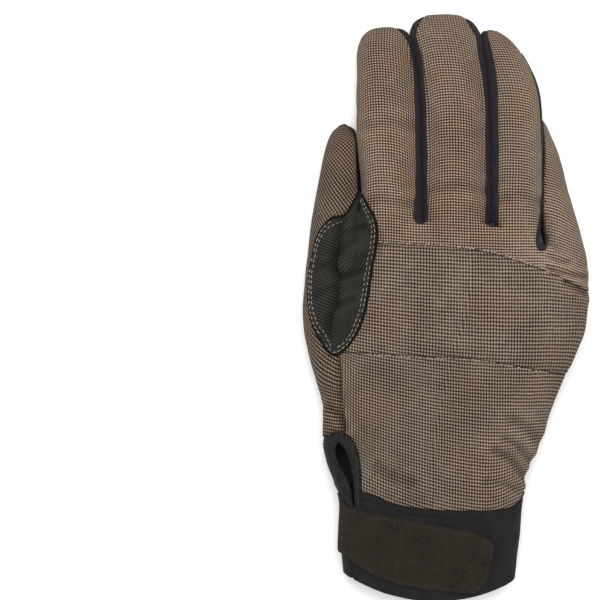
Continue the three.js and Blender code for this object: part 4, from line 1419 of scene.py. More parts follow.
CUFF_KNIT = RibbedCloth("cuff_knitted", (0.0075, 0.007, 0.0072), (0.019, 0.0175, 0.018), 0.8, 0,
                        roughness=0.85, sheen=0.04, depth=0.16, cross=0.3)
STRAP_PILE = LoopPile("strap_loop_pile", (0.0115, 0.0095, 0.0068), (0.026, 0.0215, 0.0155))
GREY_THREAD = SewingThread("grey_thread", (0.38, 0.355, 0.31), (0.17, 0.158, 0.138))
TAUPE_THREAD = SewingThread("taupe_thread", (0.43, 0.36, 0.285), (0.17, 0.135, 0.10))
LINING = RibbedCloth("dark_lining", (0.015, 0.014, 0.0145), (0.032, 0.030, 0.030), 0.9, 0,
                     roughness=0.9, sheen=0.02, depth=0.1)
DARK_THREAD = SewingThread("dark_thread", (0.045, 0.040, 0.031), (0.016, 0.014, 0.011))


@dataclass(frozen=True)
class Crease:
    """A fold in the cloth along a line seen from above."""

    line: tuple
    width: float
    depth: float
    upper: bool = True
    banks: float = 0.55  # how high the cloth stands beside the valley
    bank_place: float = 2.1  # how far beside it, in widths
    facing_fade: tuple = (-0.25, 0.2)  # over these slopes the fold runs out

    def relief(self, points: Array, facing: Array) -> Array:
        """Height that the fold adds at each point, negative in its valley.

        Args:
            points: positions on the glove.
            facing: how far each point's face looks up, -1 to 1.

        Returns:
            One height for each point.
        """
        best = np.full(len(points), np.inf)
        dense = smooth_rows(self.line, 4)
        for start, end in zip(dense, dense[1:]):
            way = end - start
            share = np.clip(((points[:, :2] - start) @ way) / max(way @ way, 1e-9), 0, 1)
            gap = points[:, :2] - start - share[:, None] * way
            best = np.minimum(best, np.hypot(gap[:, 0], gap[:, 1]))
        t = best / self.width
        valley = -np.exp(-t * t) + self.banks * np.exp(-((t - self.bank_place) ** 2))
        side = smoothstep(facing if self.upper else -facing, *self.facing_fade)
        return self.depth * valley * side


CREASES = (
    Crease(((20, -63), (26.5, -66), (31.5, -71.5), (34.5, -76)), 1.7, 0.6),
    Crease(((25, -58), (31, -61.5), (36, -68)), 1.6, 0.45),
    Crease(((16, -76), (24, -77.5), (31, -80.5)), 1.7, 0.4),
    Crease(((27, -49), (33, -52), (41, -60)), 2.2, 0.4),
    Crease(((43, 16.6), (49, 14.6), (55, 13.4), (60, 12.6)), 1.1, 0.7),
    Crease(((51, 9.8), (56, 7.4), (60, 5.2)), 1.3, 0.6),
    Crease(((44, 21.5), (48, 19.5), (52, 19.0)), 1.2, 0.35),
    Crease(((-52, -44), (-47, -48), (-45, -53)), 1.6, 0.6),
    Crease(((-45.6, 18.0), (-40.0, 23.8), (-35.0, 28.5)), 2.3, -0.8),
    Crease(((-45.2, 12.2), (-41.0, 14.0), (-36.0, 16.0)), 1.2, 0.6),
    Crease(((-44.0, 31.6), (-40.0, 33.4), (-36.6, 34.4)), 1.2, 0.45),
    Crease(((-47.8, -1.0), (-44.5, 1.5), (-40.5, 3.0)), 1.2, 0.5),
    Crease(((-57.0, 16.0), (-53.0, 17.5), (-49.0, 16.5)), 1.5, 0.35),
    Crease(((-57.5, 4.0), (-54.0, 6.5), (-50.0, 7.5)), 1.4, 0.35),
    Crease(((-30, -70), (-24, -74), (-16, -76)), 2.2, 0.35),
    Crease(((-36, 44), (-30, 46), (-16, 44)), 2.0, 0.25),
    Crease(((-36, 78), (-26, 79.5), (-15, 78)), 2.2, 0.25),
    Crease(((-8, 50), (4, 52), (16, 50)), 2.2, 0.25),
    Crease(((22, 46), (31, 48), (40, 45)), 2.0, 0.25),
    Crease(((-34, 57), (-25, 56), (-15, 57.5)), 1.8, 0.7, False),
    Crease(((-34, 82), (-25, 80.5), (-15, 82)), 1.6, 0.5, False),
    Crease(((-8, 62), (3, 60.5), (15, 62)), 1.8, 0.7, False),
    Crease(((-8, 88), (3, 86.5), (14, 88)), 1.6, 0.5, False),
    Crease(((22, 56), (31, 54.5), (40, 56)), 1.8, 0.7, False),
    Crease(((22, 80), (30, 78.5), (38, 80)), 1.6, 0.5, False),
    Crease(((40, 50), (46, 48.5), (52, 50)), 1.6, 0.5, False),
    Crease(((-52, -2), (-46, 4), (-36, 8)), 2.0, 0.8, False),
    Crease(((-28, -60), (-8, -66), (18, -74)), 2.0, 0.6, False),
    # The five broad, shallow folds below barely change the shape; through the fold attribute they paint
    # shade on the wrist's left, the hand's right side, the little finger's root and the ring finger, and the
    # one of negative depth paints lighter cloth on the wrist's right
    Crease(((-38, -60), (-28, -69), (-16, -78)), 9.0, 0.26, True, 0.0),
    Crease(((12, -60), (20, -68), (26, -78)), 8.0, -0.2, True, 0.0),
    Crease(((50, -34), (55, -14), (57, 4)), 8.0, 0.19, True, 0.0),
    Crease(((46, 12), (52, 20), (55, 36), (51, 56)), 8.0, 0.13, True, 0.0),
    Crease(((33, 44), (35, 70), (32, 100)), 8.0, 0.13, True, 0.0),
)

# Soft waves of the cloth: height, and for each of two sines the lengths along x, y and z and the start
WAVES = (
    (0.14, (4.1, 6.3, math.inf, 1.0), (-11.0, 7.7, math.inf, 0.0)),
    (0.10, (2.3, -3.9, math.inf, 0.6), (math.inf, 5.1, 3.0, 0.0)),
    (0.30, (math.inf, 9.3, math.inf, 2.2), (8.1, math.inf, 7.0, 0.0)),
)

# Where seams on the back are shallow
SHALLOWER = 0.6
BESIDE_SEAM = (1.5, 3.0)
ON_BACK = (12, 18)
LOWER_ON_BACK = (6, 12)
UPPER_SEAM_END = (44, 52)
THUMB_SEAM_START = (-34, -24)

# Where fingers are pressed together
CONTACT_ENDS = 4
CONTACT_SIDE = (0.05, 1.2)


def fold_relief(points: Array, facing: Array) -> Array:
    """Height of the folds alone at each point."""
    return sum(crease.relief(points, facing) for crease in CREASES)


def wave(points: Array, shape: Sequence[float]) -> Array:
    """A sine at each point, from its lengths along x, y and z and its start."""
    x, y, z = points.T
    return np.sin(x / shape[0] + y / shape[1] + z / shape[2] + shape[3])


def surface_relief(points: Array, facing: Array) -> Array:
    """Folds and soft unevenness of the cloth at each point."""
    waves = sum(height * wave(points, first) * wave(points, second) for height, first, second in WAVES)
    return waves + fold_relief(points, facing)


def seam_share(points: Array) -> Array:
    """How deep a seam is at each point: the knuckle seams are shallow on the back.

    Args:
        points: positions on the glove.

    Returns:
        A share from 0 to 1 for each point.
    """
    x, y, z = points.T
    upper = 1 - smoothstep(np.abs(y - line_at(UPPER_KNUCKLE_SEAM, x)), *BESIDE_SEAM)
    upper = upper * (1 - smoothstep(x, *UPPER_SEAM_END)) * smoothstep(z, *ON_BACK)
    lower = 1 - smoothstep(np.abs(y - line_at(LOWER_KNUCKLE_SEAM, x)), *BESIDE_SEAM)
    lower = lower * smoothstep(z, *LOWER_ON_BACK)
    thumb = 1 - smoothstep(np.abs(x - line_x_at(THUMB_SEAM, y)), *BESIDE_SEAM)
    thumb = thumb * (1 - smoothstep(y, *THUMB_SEAM_START)) * smoothstep(z, *ON_BACK)
    return 1 - SHALLOWER * np.maximum.reduce([upper, lower, thumb])


def off_contact(points: Array) -> Array:
    """0 where two fingers are pressed together and 1 away from there.

    Args:
        points: positions on the glove.

    Returns:
        One value for each point.
    """
    x, y, _ = points.T
    result = np.ones(len(points))
    for left, right, start, end in PRESSED:
        middle = (np.interp(y, left.table[:, 0], left.table[:, 2])
                  + np.interp(y, right.table[:, 0], right.table[:, 1])) / 2
        along = smoothstep(y, start, start + CONTACT_ENDS) * (1 - smoothstep(y, end - CONTACT_ENDS, end))
        result *= 1 - along * (1 - smoothstep(np.abs(x - middle), *CONTACT_SIDE))
    return result


@dataclass(frozen=True)
class ClothMap:
    """Lays the cloth's own coordinates, in millimetres, over the glove."""

    tilt: tuple = ((-90, 1.0), (-72, 1.0), (-48, 0.72), (-5, 0.36), (25, 0.2), (130, 0.2))
    thumb_turn: tuple = (
        (-60, 3), (-50, 5), (-35, 10), (-22, 26), (-8, 38), (20, 48), (60, 53), (80, 55),
    )
    thumb_rows: tuple = (-140, 120, 521)
    web_turn: tuple = ((-2.6, 20), (0.2, -48))
    web_stretch: float = 1.2
    lean_rise: float = 9.36  # rows curve upwards to the left
    lean_from: float = 32.0
    lean_over: float = 52.0
    lean_held: tuple = (-0.2, 1.6)
    hand_droop: float = 0.3  # how much rows sink where the cloth turns down at the sides
    droop_end: tuple = (0, 30)
    finger_droop: float = 0.75
    finger_start: float = 38.0  # from here the length along a finger is counted
    finger_blend: tuple = (30, 62)
    # Rows fall to the right
    finger_fall: tuple = ((INDEX, 0.06), (MIDDLE, 0.04), (RING, 0.08), (LITTLE, 0.34))
    little_fall: float = 0.34
    little_from: float = 43.0
    little_rise: tuple = (-8, 22)
    little_ease: float = 5.0
    # Rows rise to the right edge of the wrist
    wrist_gather: tuple = ((-100, 0.55), (-74, 0.5), (-62, 0.16), (-44, 0.0))
    gather_from: float = 20.0
    gather_ease: float = 6.0
    finger_bow: tuple = (0.016, 0.012, 0.0, 0.0)  # rows sink to both sides
    right_bow: tuple = (0.0, 0.0, 0.024, 0.0)  # and to the right side alone
    arc_until: float = -41.0  # left of this the cloth lies flat beside the thumb
    seam_gather: tuple = ((-90, 0.5), (-30, 0.55), (-16, 0.0))  # rows rise to the seam of the thumb
    gather_until: float = -40.5
    seam_ease: float = 3.0
    thumb_wrist: tuple = (-50.0, -30.0)  # where the thumb's cloth takes its way from the wrist
    thumb_end: float = 73.0
    thumb_cap: tuple = (68.0, 77.0)  # over this stretch the cloth folds down over the tip

    def back(self, points: Array) -> Array:
        """Across and along the back of hand and fingers.

        Args:
            points: positions on the glove.

        Returns:
            Two coordinates for each point, in millimetres of cloth.
        """
        x, y, _ = points.T
        held = points.copy()
        held[:, 0] = np.maximum(x, self.arc_until)
        excess = HAND.arc_excess(held)
        lean = self.lean_rise * np.clip((self.lean_from - x) / self.lean_over, *self.lean_held) ** 2
        rows = y - np.interp(y, *zip(*self.tilt)) * lean
        droop = self.hand_droop * np.where(x < 0, 1 - smoothstep(y, *self.droop_end), 1)
        u, v = x + excess, rows + droop * np.abs(excess)
        little = eased_ramp(x - self.little_from, self.little_ease) * smoothstep(y, *self.little_rise)
        v += self.little_fall * little
        v -= np.interp(y, *zip(*self.wrist_gather)) * eased_ramp(x - self.gather_from, self.gather_ease)
        v -= np.interp(y, *zip(*self.seam_gather)) * eased_ramp(self.gather_until - x, self.seam_ease)
        reaches = np.array([tube.reach(points) for tube in (INDEX, MIDDLE, RING, LITTLE)])
        nearest = reaches.argmin(axis=0)
        start = self.finger_start
        for k, (tube, fall) in enumerate(self.finger_fall):
            chosen = nearest == k
            spots = points[chosen]
            if not len(spots):
                continue
            arc = tube.arc(spots)
            middles = (tube.table[:, 1] + tube.table[:, 2]) / 2
            gone = tube.along(spots[:, 1]) - tube.along(np.array([start]))
            finger_u = np.interp(start, tube.table[:, 0], middles) + arc
            flat = np.abs(arc) - np.abs(spots[:, 0] - np.interp(spots[:, 1], tube.table[:, 0], middles))
            finger_v = start + gone + (rows[chosen] - spots[:, 1])
            finger_v = finger_v + self.finger_droop * np.maximum(flat, 0)
            bow = self.finger_bow[k] * arc**2
            finger_v += fall * arc + bow + self.right_bow[k] * np.maximum(arc, 0) ** 2
            share = smoothstep(spots[:, 1], *self.finger_blend)
            u[chosen] = (1 - share) * u[chosen] + share * finger_u
            v[chosen] = (1 - share) * v[chosen] + share * finger_v
        return np.stack([u, v], axis=1)

    def thumb(self, points: Array) -> Array:
        """Across and along the thumb, where the weave runs on the slant.

        Args:
            points: positions on the glove.

        Returns:
            Two coordinates for each point, in millimetres of cloth.
        """
        at, turns = (np.array(column, float) for column in zip(*self.thumb_turn))
        ys = np.linspace(*self.thumb_rows)
        angle = np.radians(np.interp(ys, at, turns))
        step = ys[1] - ys[0]
        rise, drift = np.cumsum(np.cos(angle)) * step, np.cumsum(np.sin(angle)) * step
        y = points[:, 1]
        turn = np.radians(np.interp(y, at, turns))
        held = points.copy()
        held[:, 1] = np.minimum(y, self.thumb_end)
        across, up, _, tall = THUMB.local(held)
        underneath = (across > 0) & (up < 0)  # the cloth gets there round the outer side
        arc = THUMB.arc(held) - np.where(underneath, THUMB.girth(held), 0)
        wrist_arc = points[:, 0] + HAND.arc_excess(points)
        joined = (y > self.thumb_wrist[0]) & (y < self.thumb_wrist[1])
        wrist_arc += np.median((arc - wrist_arc)[joined])
        share = smoothstep(y, *self.thumb_wrist)
        arc = share * arc + (1 - share) * wrist_arc
        cap = smoothstep(y, *self.thumb_cap)
        arc = (1 - cap) * arc + cap * across
        along = y + cap * np.maximum(tall - up, 0)
        u = arc * np.cos(turn) - np.interp(along, ys, drift)
        v = arc * np.sin(turn) + np.interp(along, ys, rise)
        return np.stack([u, v], axis=1)

    def web(self, points: Array) -> Array:
        """Over the web between thumb and hand, on the slant to both.

        Args:
            points: positions on the glove.

        Returns:
            Two coordinates for each point, in millimetres of cloth.
        """
        x, y, _ = points.T
        side = (x - line_x_at(WEB_VALLEY, y)) * self.web_stretch
        turn = np.radians(np.interp(side, *zip(*self.web_turn)))
        u = side * np.cos(turn) - y * np.sin(turn)
        v = side * np.sin(turn) + y * np.cos(turn)
        return np.stack([u, v], axis=1)

    def plan(self, points: Array) -> Array:
        """Flat, seen from above."""
        return points[:, :2].copy()


@dataclass(frozen=True)
class EdgeRoll:
    """How a panel's edge turns down into its seam."""

    reach: float
    depth: float

    def drop(self, distance: Array) -> Array:
        """How far the cloth has turned down at a distance from its edge."""
        t = np.clip(1 - distance / self.reach, 0, 1)
        return self.depth * (1 - np.sqrt(np.maximum(1 - t * t, 0)))


@dataclass(frozen=True)
class StitchRow:
    """A row of stitches along a panel's edge."""

    inset: float
    pitch: float = 2.3
    length: float = 1.95
    width: float = 0.5
    height: float = 0.4
    slant: float = 0.0  # degrees
    uneven: float = 0.0
    missing: float = 0.25
    sway_along: float = 0.3  # how much an uneven stitch is moved, turned and resized
    sway_turn: float = 40.0
    sway_size: float = 0.5
    standing: float = 0.22  # share of its height by which its middle stands off the cloth


@dataclass
class ClothPanel:
    """One sewn piece of cloth, shaped from the skin of the glove."""

    name: str
    nodes: tuple
    slot: str
    finish: object
    cloth: Measure
    pitch: tuple = (1.22, 1.24)
    thickness: float = FABRIC
    lift: float = 0.0
    pad: float = 0.0
    pad_reach: float = 5.0
    roll: EdgeRoll = EdgeRoll(1.1, 0.75)
    channels: tuple = ()
    channel_depth: float = 0.22
    channel_width: float = 0.5
    relief: float = 1.0
    supports: tuple = (0.25, 0.6, 1.1, 2.0)
    puckers: float = 0.0
    profile: Measure | None = None
    thin: Measure | None = None
    thin_levels: tuple = (0.25, 0.5, 0.75, 1.0)
    thinnest: float = 0.12  # share of the wall that is left there
    standing: tuple = (0.0, 0.4)  # slopes over which a face counts as an upper one
    pad_edge: float = 0.2
    pad_facing: tuple = (-0.1, 0.55)
    pucker_way: tuple = (1.1, 1.3)
    pucker_waves: tuple = (2.1, 0.83)
    pucker_reach: float = 2.6
    pucker_edge: tuple = (0.1, 0.9)
    edge_step: float = 0.12

    def build(self, bm: BMesh) -> Piece:
        """Shapes the piece from its faces of the skin and finishes it.

        Args:
            bm: the faces, in millimetres. It is freed.

        Returns:
            The finished object.
        """
        self.add_edge_distance(bm)
        for inset in self.supports:
            values = np.array([vert[bm.verts.layers.float["edge"]] for vert in bm.verts]) - inset
            cut_along(bm, values, 0.02)
        mesh = bpy.data.meshes.new(self.name)
        edge_layer = bm.verts.layers.float["edge"]
        outward_layer = bm.verts.layers.float_vector["outward"]
        edge = np.array([vert[edge_layer] for vert in bm.verts])
        outward = np.array([vert[outward_layer][:] for vert in bm.verts])
        outward /= np.maximum(np.linalg.norm(outward, axis=1, keepdims=True), 1e-9)
        points = bm_places(bm)
        bm.to_mesh(mesh)
        bm.free()
        uv = self.cloth(points) / np.array(self.pitch)
        shaped = points + outward * self.heights(points, outward, edge)[:, None]
        # An upper face near the table leaves room for its wall
        standing = smoothstep(outward[:, 2], *self.standing)
        shaped[:, 2] = np.maximum(shaped[:, 2], REST_LEVEL + self.thickness * standing)
        self.edge, self.shaped, self.points, self.outward = edge, shaped, points, outward
        # The fold relief is kept for the woven finishes, which paint shade and highlight from it
        self.fold = fold_relief(points, outward[:, 2])
        return self.dressed(mesh, uv)

    def heights(self, points: Array, outward: Array, edge: Array) -> Array:
        """How far each point of the piece stands off the skin.

        Args:
            points: positions on the glove.
            outward: the skin's normals.
            edge: distance from the piece's own edge.

        Returns:
            One distance for each point.
        """
        facing = outward[:, 2]
        result = self.lift + self.relief * surface_relief(points, facing)
        result -= self.roll.drop(edge) * seam_share(points)
        if self.profile is not None:
            result += self.profile(points)
        if self.pad:
            beside_web = smoothstep(Outline(WEB_PATCH).signed(points), 0.0, self.pad_reach)
            raised = self.pad * smoothstep(edge, self.pad_edge, self.pad_reach)
            result += raised * smoothstep(facing, *self.pad_facing) * beside_web
        for inset in self.channels:
            result -= self.channel_depth * np.exp(-(((edge - inset) / self.channel_width) ** 2))
        if self.puckers:
            along = points[:, 0] * self.pucker_way[0] + points[:, 1] * self.pucker_way[1]
            gather = np.sin(along * self.pucker_waves[0]) * np.sin(along * self.pucker_waves[1] + 1.0)
            near = np.exp(-((edge / self.pucker_reach) ** 2)) * smoothstep(edge, *self.pucker_edge)
            result += self.puckers * gather * near
        return result * off_contact(points)

    def add_edge_distance(self, bm: BMesh) -> None:
        """Measures how far each vertex is from the piece's own edge.

        Args:
            bm: the piece's faces, which get a vertex layer named edge.
        """
        layer = bm.verts.layers.float.new("edge")
        spots = []
        for edge in bm.edges:
            if edge.is_boundary:
                start, end = edge.verts[0].co, edge.verts[1].co
                count = max(1, int((end - start).length / self.edge_step))
                spots += [start.lerp(end, k / count) for k in range(count + 1)]
        tree = KDTree(len(spots))
        for k, spot in enumerate(spots):
            tree.insert(spot, k)
        tree.balance()
        for vert in bm.verts:
            vert[layer] = 0.0 if vert.is_boundary else tree.find(vert.co)[2]

    def dressed(self, mesh: Mesh, uv: Array) -> Piece:
        """Gives the mesh its place, cloth map, wall and finish.

        Args:
            mesh: the piece's mesh.
            uv: cloth coordinates of its vertices.

        Returns:
            The finished object.
        """
        mesh.vertices.foreach_set("co", (self.shaped * MM).astype(np.float32).ravel())
        for name in ("place", "outward", "edge"):
            mesh.attributes.remove(mesh.attributes[name])
        for name, values in (("from_edge", self.edge), ("fold", self.fold)):
            layer = mesh.attributes.new(name, "FLOAT", "POINT")
            layer.data.foreach_set("value", values.astype(np.float32))
        corners = np.zeros(len(mesh.loops), np.int32)
        mesh.loops.foreach_get("vertex_index", corners)
        layer = mesh.uv_layers.new(name="cloth")
        layer.data.foreach_set("uv", uv[corners].astype(np.float32).ravel())
        mesh.polygons.foreach_set("use_smooth", np.ones(len(mesh.polygons), bool))
        mesh.update()
        obj = bpy.data.objects.new(self.name, mesh)
        bpy.context.scene.collection.objects.link(obj)
        mesh.materials.append(material_of(self.finish))
        wall = obj.modifiers.new("wall", "SOLIDIFY")
        wall.thickness = self.thickness * MM
        wall.offset = -1
        wall.material_offset = 1
        wall.material_offset_rim = 1
        if self.thin is not None:
            self.thin_wall(obj, wall)
        mesh.materials.append(material_of(LINING))
        place_piece(obj, self.nodes)
        return obj

    def thin_wall(self, obj: Piece, wall: bpy.types.Modifier) -> None:
        """Makes the wall thinner where the glove is too narrow for two of them.

        Args:
            obj: the piece.
            wall: its wall.
        """
        group = obj.vertex_groups.new(name="thin")
        share = self.thin(self.points)
        for level in self.thin_levels:
            chosen = np.nonzero(np.abs(share - level) <= self.thin_levels[0] / 2)[0]
            group.add([int(i) for i in chosen], level, "REPLACE")
        wall.vertex_group = group.name
        wall.invert_vertex_group = True
        wall.thickness_vertex_group = self.thinnest

    def stitches(self, name: str, rows: Sequence[StitchRow], finish: SewingThread,
                 where: Measure | None = None, value: Measure | None = None) -> Piece | None:
        """Sews rows of stitches on the finished piece.

        Args:
            name: the new piece's name.
            rows: the rows, each at its inset from the edge.
            finish: the thread.
            where: keeps only stitches whose place gives True.
            value: read in place of the distance from the edge.

        Returns:
            The stitches as one object, or None where no row fits.
        """
        mesh = bpy.data.objects[self.name].data
        bm = bmesh.new()
        bm.from_mesh(mesh)
        bmesh.ops.scale(bm, vec=(1 / MM,) * 3, verts=bm.verts)
        ground = BVHTree.FromBMesh(bm)
        values = self.edge if value is None else value(self.points)
        places = []
        for row in rows:
            for line in level_lines(bm, values, row.inset):
                places += sew_line(line, row, ground, where)
        bm.free()
        if not places:
            return None
        obj = object_of(sewn_mesh(places), name)
        obj.data.polygons.foreach_set("use_smooth", np.ones(len(obj.data.polygons), bool))
        obj.data.materials.append(material_of(finish))
        place_piece(obj, ())
        return obj


@cache
def material_of(finish: object) -> Material:
    """The material of a finish, made once."""
    return finish.material()


def place_piece(obj: Piece, nodes: Sequence[str]) -> None:
    """Puts a finished piece on the glove's one body and hides the CAD nodes that it replaces.

    Args:
        obj: the piece.
        nodes: the CAD nodes that it replaces.
    """
    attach(obj, "root")
    if nodes:
        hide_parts(*nodes)


def settle(obj: Piece) -> None:
    """Bakes a piece's wall and lifts what it has pushed under the table.

    Args:
        obj: the piece.
    """
    graph = bpy.context.evaluated_depsgraph_get()
    mesh = bpy.data.meshes.new_from_object(obj.evaluated_get(graph))
    points = vertex_places(mesh)
    points[:, 2] = np.maximum(points[:, 2], REST_LEVEL * MM)
    mesh.vertices.foreach_set("co", points.astype(np.float32).ravel())
    mesh.update()
    obj.modifiers.clear()
    obj.data = mesh


def level_lines(bm: BMesh, values: Array, level: float) -> list[Array]:
    """Lines on a mesh along which a value of its vertices is level.

    Args:
        bm: the mesh.
        values: one number for each vertex.
        level: the number that the lines follow.

    Returns:
        The lines, each an array of points; a closed one ends where it starts.
    """
    above = (values > level).tolist()
    spots: dict[int, Vector] = {}
    links: dict[int, list[int]] = {}
    bm.verts.index_update()
    bm.edges.index_update()
    for face in bm.faces:
        crossed = [edge for edge in face.edges if above[edge.verts[0].index] != above[edge.verts[1].index]]
        if len(crossed) != 2:
            continue
        for edge in crossed:
            if edge.index not in spots:
                a, b = edge.verts
                share = (level - values[a.index]) / (values[b.index] - values[a.index])
                spots[edge.index] = a.co.lerp(b.co, share)
        links.setdefault(crossed[0].index, []).append(crossed[1].index)
        links.setdefault(crossed[1].index, []).append(crossed[0].index)
    lines = []
    left = set(links)
    starts = sorted(k for k, near in links.items() if len(near) == 1) + sorted(links)
    for start in starts:
        if start not in left:
            continue
        path, here = [start], start
        left.discard(start)
        while True:
            onward = [k for k in links[here] if k in left]
            if not onward:
                break
            here = onward[0]
            left.discard(here)
            path.append(here)
        if start in links[here] and len(path) > 2:
            path.append(start)
        lines.append(np.array([spots[k][:] for k in path]))
    return lines


def eased_line(line: Array, closed: bool, rounds: int = 6) -> Array:
    """A line with its small kinks taken out.

    Args:
        line: points along it; an open line is changed itself.
        closed: True where it ends at its start.
        rounds: how often it is eased.

    Returns:
        The eased line.
    """
    for _ in range(rounds):
        if closed:
            ring = line[:-1]
            ring = (np.roll(ring, 1, axis=0) + 2 * ring + np.roll(ring, -1, axis=0)) / 4
            line = np.vstack([ring, ring[:1]])
        else:
            line[1:-1] = (line[:-2] + 2 * line[1:-1] + line[2:]) / 4
    return line


def sew_line(line: Array, row: StitchRow, ground: BVHTree, where: Measure | None) -> list[Matrix]:
    """Lays one row of stitches along a line.

    Args:
        line: points along the row.
        row: sizes of the stitches.
        ground: the cloth that they lie on.
        where: keeps only stitches whose place gives True.

    Returns:
        A transform for each stitch, from a ball of radius one.
    """
    chance = np.random.default_rng(len(line))
    closed = bool(np.allclose(line[0], line[-1]))
    line = eased_line(line.copy(), closed)
    lengths = np.concatenate([[0], np.cumsum(np.linalg.norm(np.diff(line, axis=0), axis=1))])
    count = int(lengths[-1] / row.pitch)
    places = []
    for k in range(count if count > 1 else 0):
        sway = chance.uniform(-row.uneven, row.uneven, 4)
        if chance.random() < row.uneven * row.missing:
            continue
        middle = (k + 0.5 + row.sway_along * sway[0]) * lengths[-1] / count
        ends = [Vector([np.interp(middle + half, lengths, line[:, axis]) for axis in range(3)])
                for half in (-row.length / 2, row.length / 2)]
        centre = (ends[0] + ends[1]) / 2
        if where is not None and not bool(where(np.array([centre[:]]))[0]):
            continue
        found, normal, _, _ = ground.find_nearest(centre)
        way = (ends[1] - ends[0]).normalized()
        way = (way - normal * way.dot(normal)).normalized()
        beside = normal.cross(way)
        lean = math.radians(row.slant + row.sway_turn * sway[1])
        across = beside * math.cos(lean) - way * math.sin(lean)
        way = way * math.cos(lean) + beside * math.sin(lean)
        turn = Matrix((way, across, normal)).transposed().to_4x4()
        long, wide = (1 + row.sway_size * share for share in sway[2:])
        size = Matrix.Diagonal((row.length / 2 * long, row.width / 2 * wide, row.height / 2, 1))
        centre = found + normal * row.height * row.standing + across * row.sway_size * sway[2]
        centre.z = max(centre.z, row.height / 2 + REST_LEVEL)
        places.append(Matrix.Translation(centre) @ turn @ size)
    return places


def sewn_mesh(places: Sequence[Matrix], batch: int = 16) -> BMesh:
    """Small rounded stitches, in metres, one for each transform in millimetres.

    Args:
        places: the transforms.
        batch: how many are made at a time.

    Returns:
        All of them as one mesh.
    """
    whole = bmesh.new()
    to_metres = Matrix.Scale(MM, 4)
    for start in range(0, len(places), batch):
        few = bmesh.new()
        for place in places[start:start + batch]:
            bmesh.ops.create_uvsphere(few, u_segments=7, v_segments=5, radius=1, matrix=to_metres @ place)
        mesh = bpy.data.meshes.new("few")
        few.to_mesh(mesh)
        few.free()
        whole.from_mesh(mesh)
        bpy.data.meshes.remove(mesh)
    return whole


def face_places(bm: BMesh) -> Array:
    """Middles of a bmesh's faces."""
    return np.array([face.calc_center_median()[:] for face in bm.faces])


def keep_inside(bm: BMesh, measure: Measure) -> BMesh:
    """Cuts a mesh down to where a measure is negative.

    Args:
        bm: the mesh, which is changed.
        measure: gives one number for each point.

    Returns:
        The same mesh.
    """
    cut_along(bm, measure(bm_places(bm)))
    gone = (measure(face_places(bm)) > 0).tolist()
    bmesh.ops.delete(bm, geom=[face for face, out in zip(bm.faces, gone) if out], context="FACES")
    return bm


def keep_largest(bm: BMesh) -> BMesh:
    """Drops loose crumbs of a mesh.

    Args:
        bm: the mesh, which is changed.

    Returns:
        The same mesh, with only its largest connected piece left.
    """
    left = set(bm.faces)
    groups = []
    while left:
        group = [left.pop()]
        for face in group:
            near = {other for edge in face.edges for other in edge.link_faces} & left
            left -= near
            group += near
        groups.append(group)
    groups.sort(key=len, reverse=True)
    bmesh.ops.delete(bm, geom=[face for group in groups[1:] for face in group], context="FACES")
    return bm


@dataclass
class SubAssembly:
    """Some of the glove's pieces, cut from its one skin."""

    skin: Skin
    cloth: ClothMap
    patch_wall: float = 0.8
    patch_lift: float = 0.95
    patch_roll: EdgeRoll = EdgeRoll(0.6, 0.7)
    patch_channels: tuple = (1.3, 2.9)
    patch_supports: tuple = (0.12, 0.35, 0.7, 1.3, 2.1, 2.9)

    def part(self, *parts: Part) -> BMesh:
        """Faces of one or more panels."""
        return self.skin.take(np.isin(self.skin.parts, [part.value for part in parts]))

    def outlined(self, allowed: Array, line: Rows) -> BMesh:
        """Cuts a patch out of the skin.

        Args:
            allowed: True for each face that the patch may lie on.
            line: its outline, seen from above.

        Returns:
            The patch's faces.
        """
        return keep_largest(keep_inside(self.skin.take(allowed), Outline(line).signed))

    def patch_panel(self, *labels: object, **more: object) -> ClothPanel:
        """A thin panel that is sewn on top of another.

        Args:
            labels: its name, nodes, slot, finish and cloth.
            more: other fields of the panel.

        Returns:
            The panel, not built yet.
        """
        return ClothPanel(*labels, thickness=self.patch_wall, lift=self.patch_lift, roll=self.patch_roll,
                          channels=self.patch_channels, supports=self.patch_supports, **more)


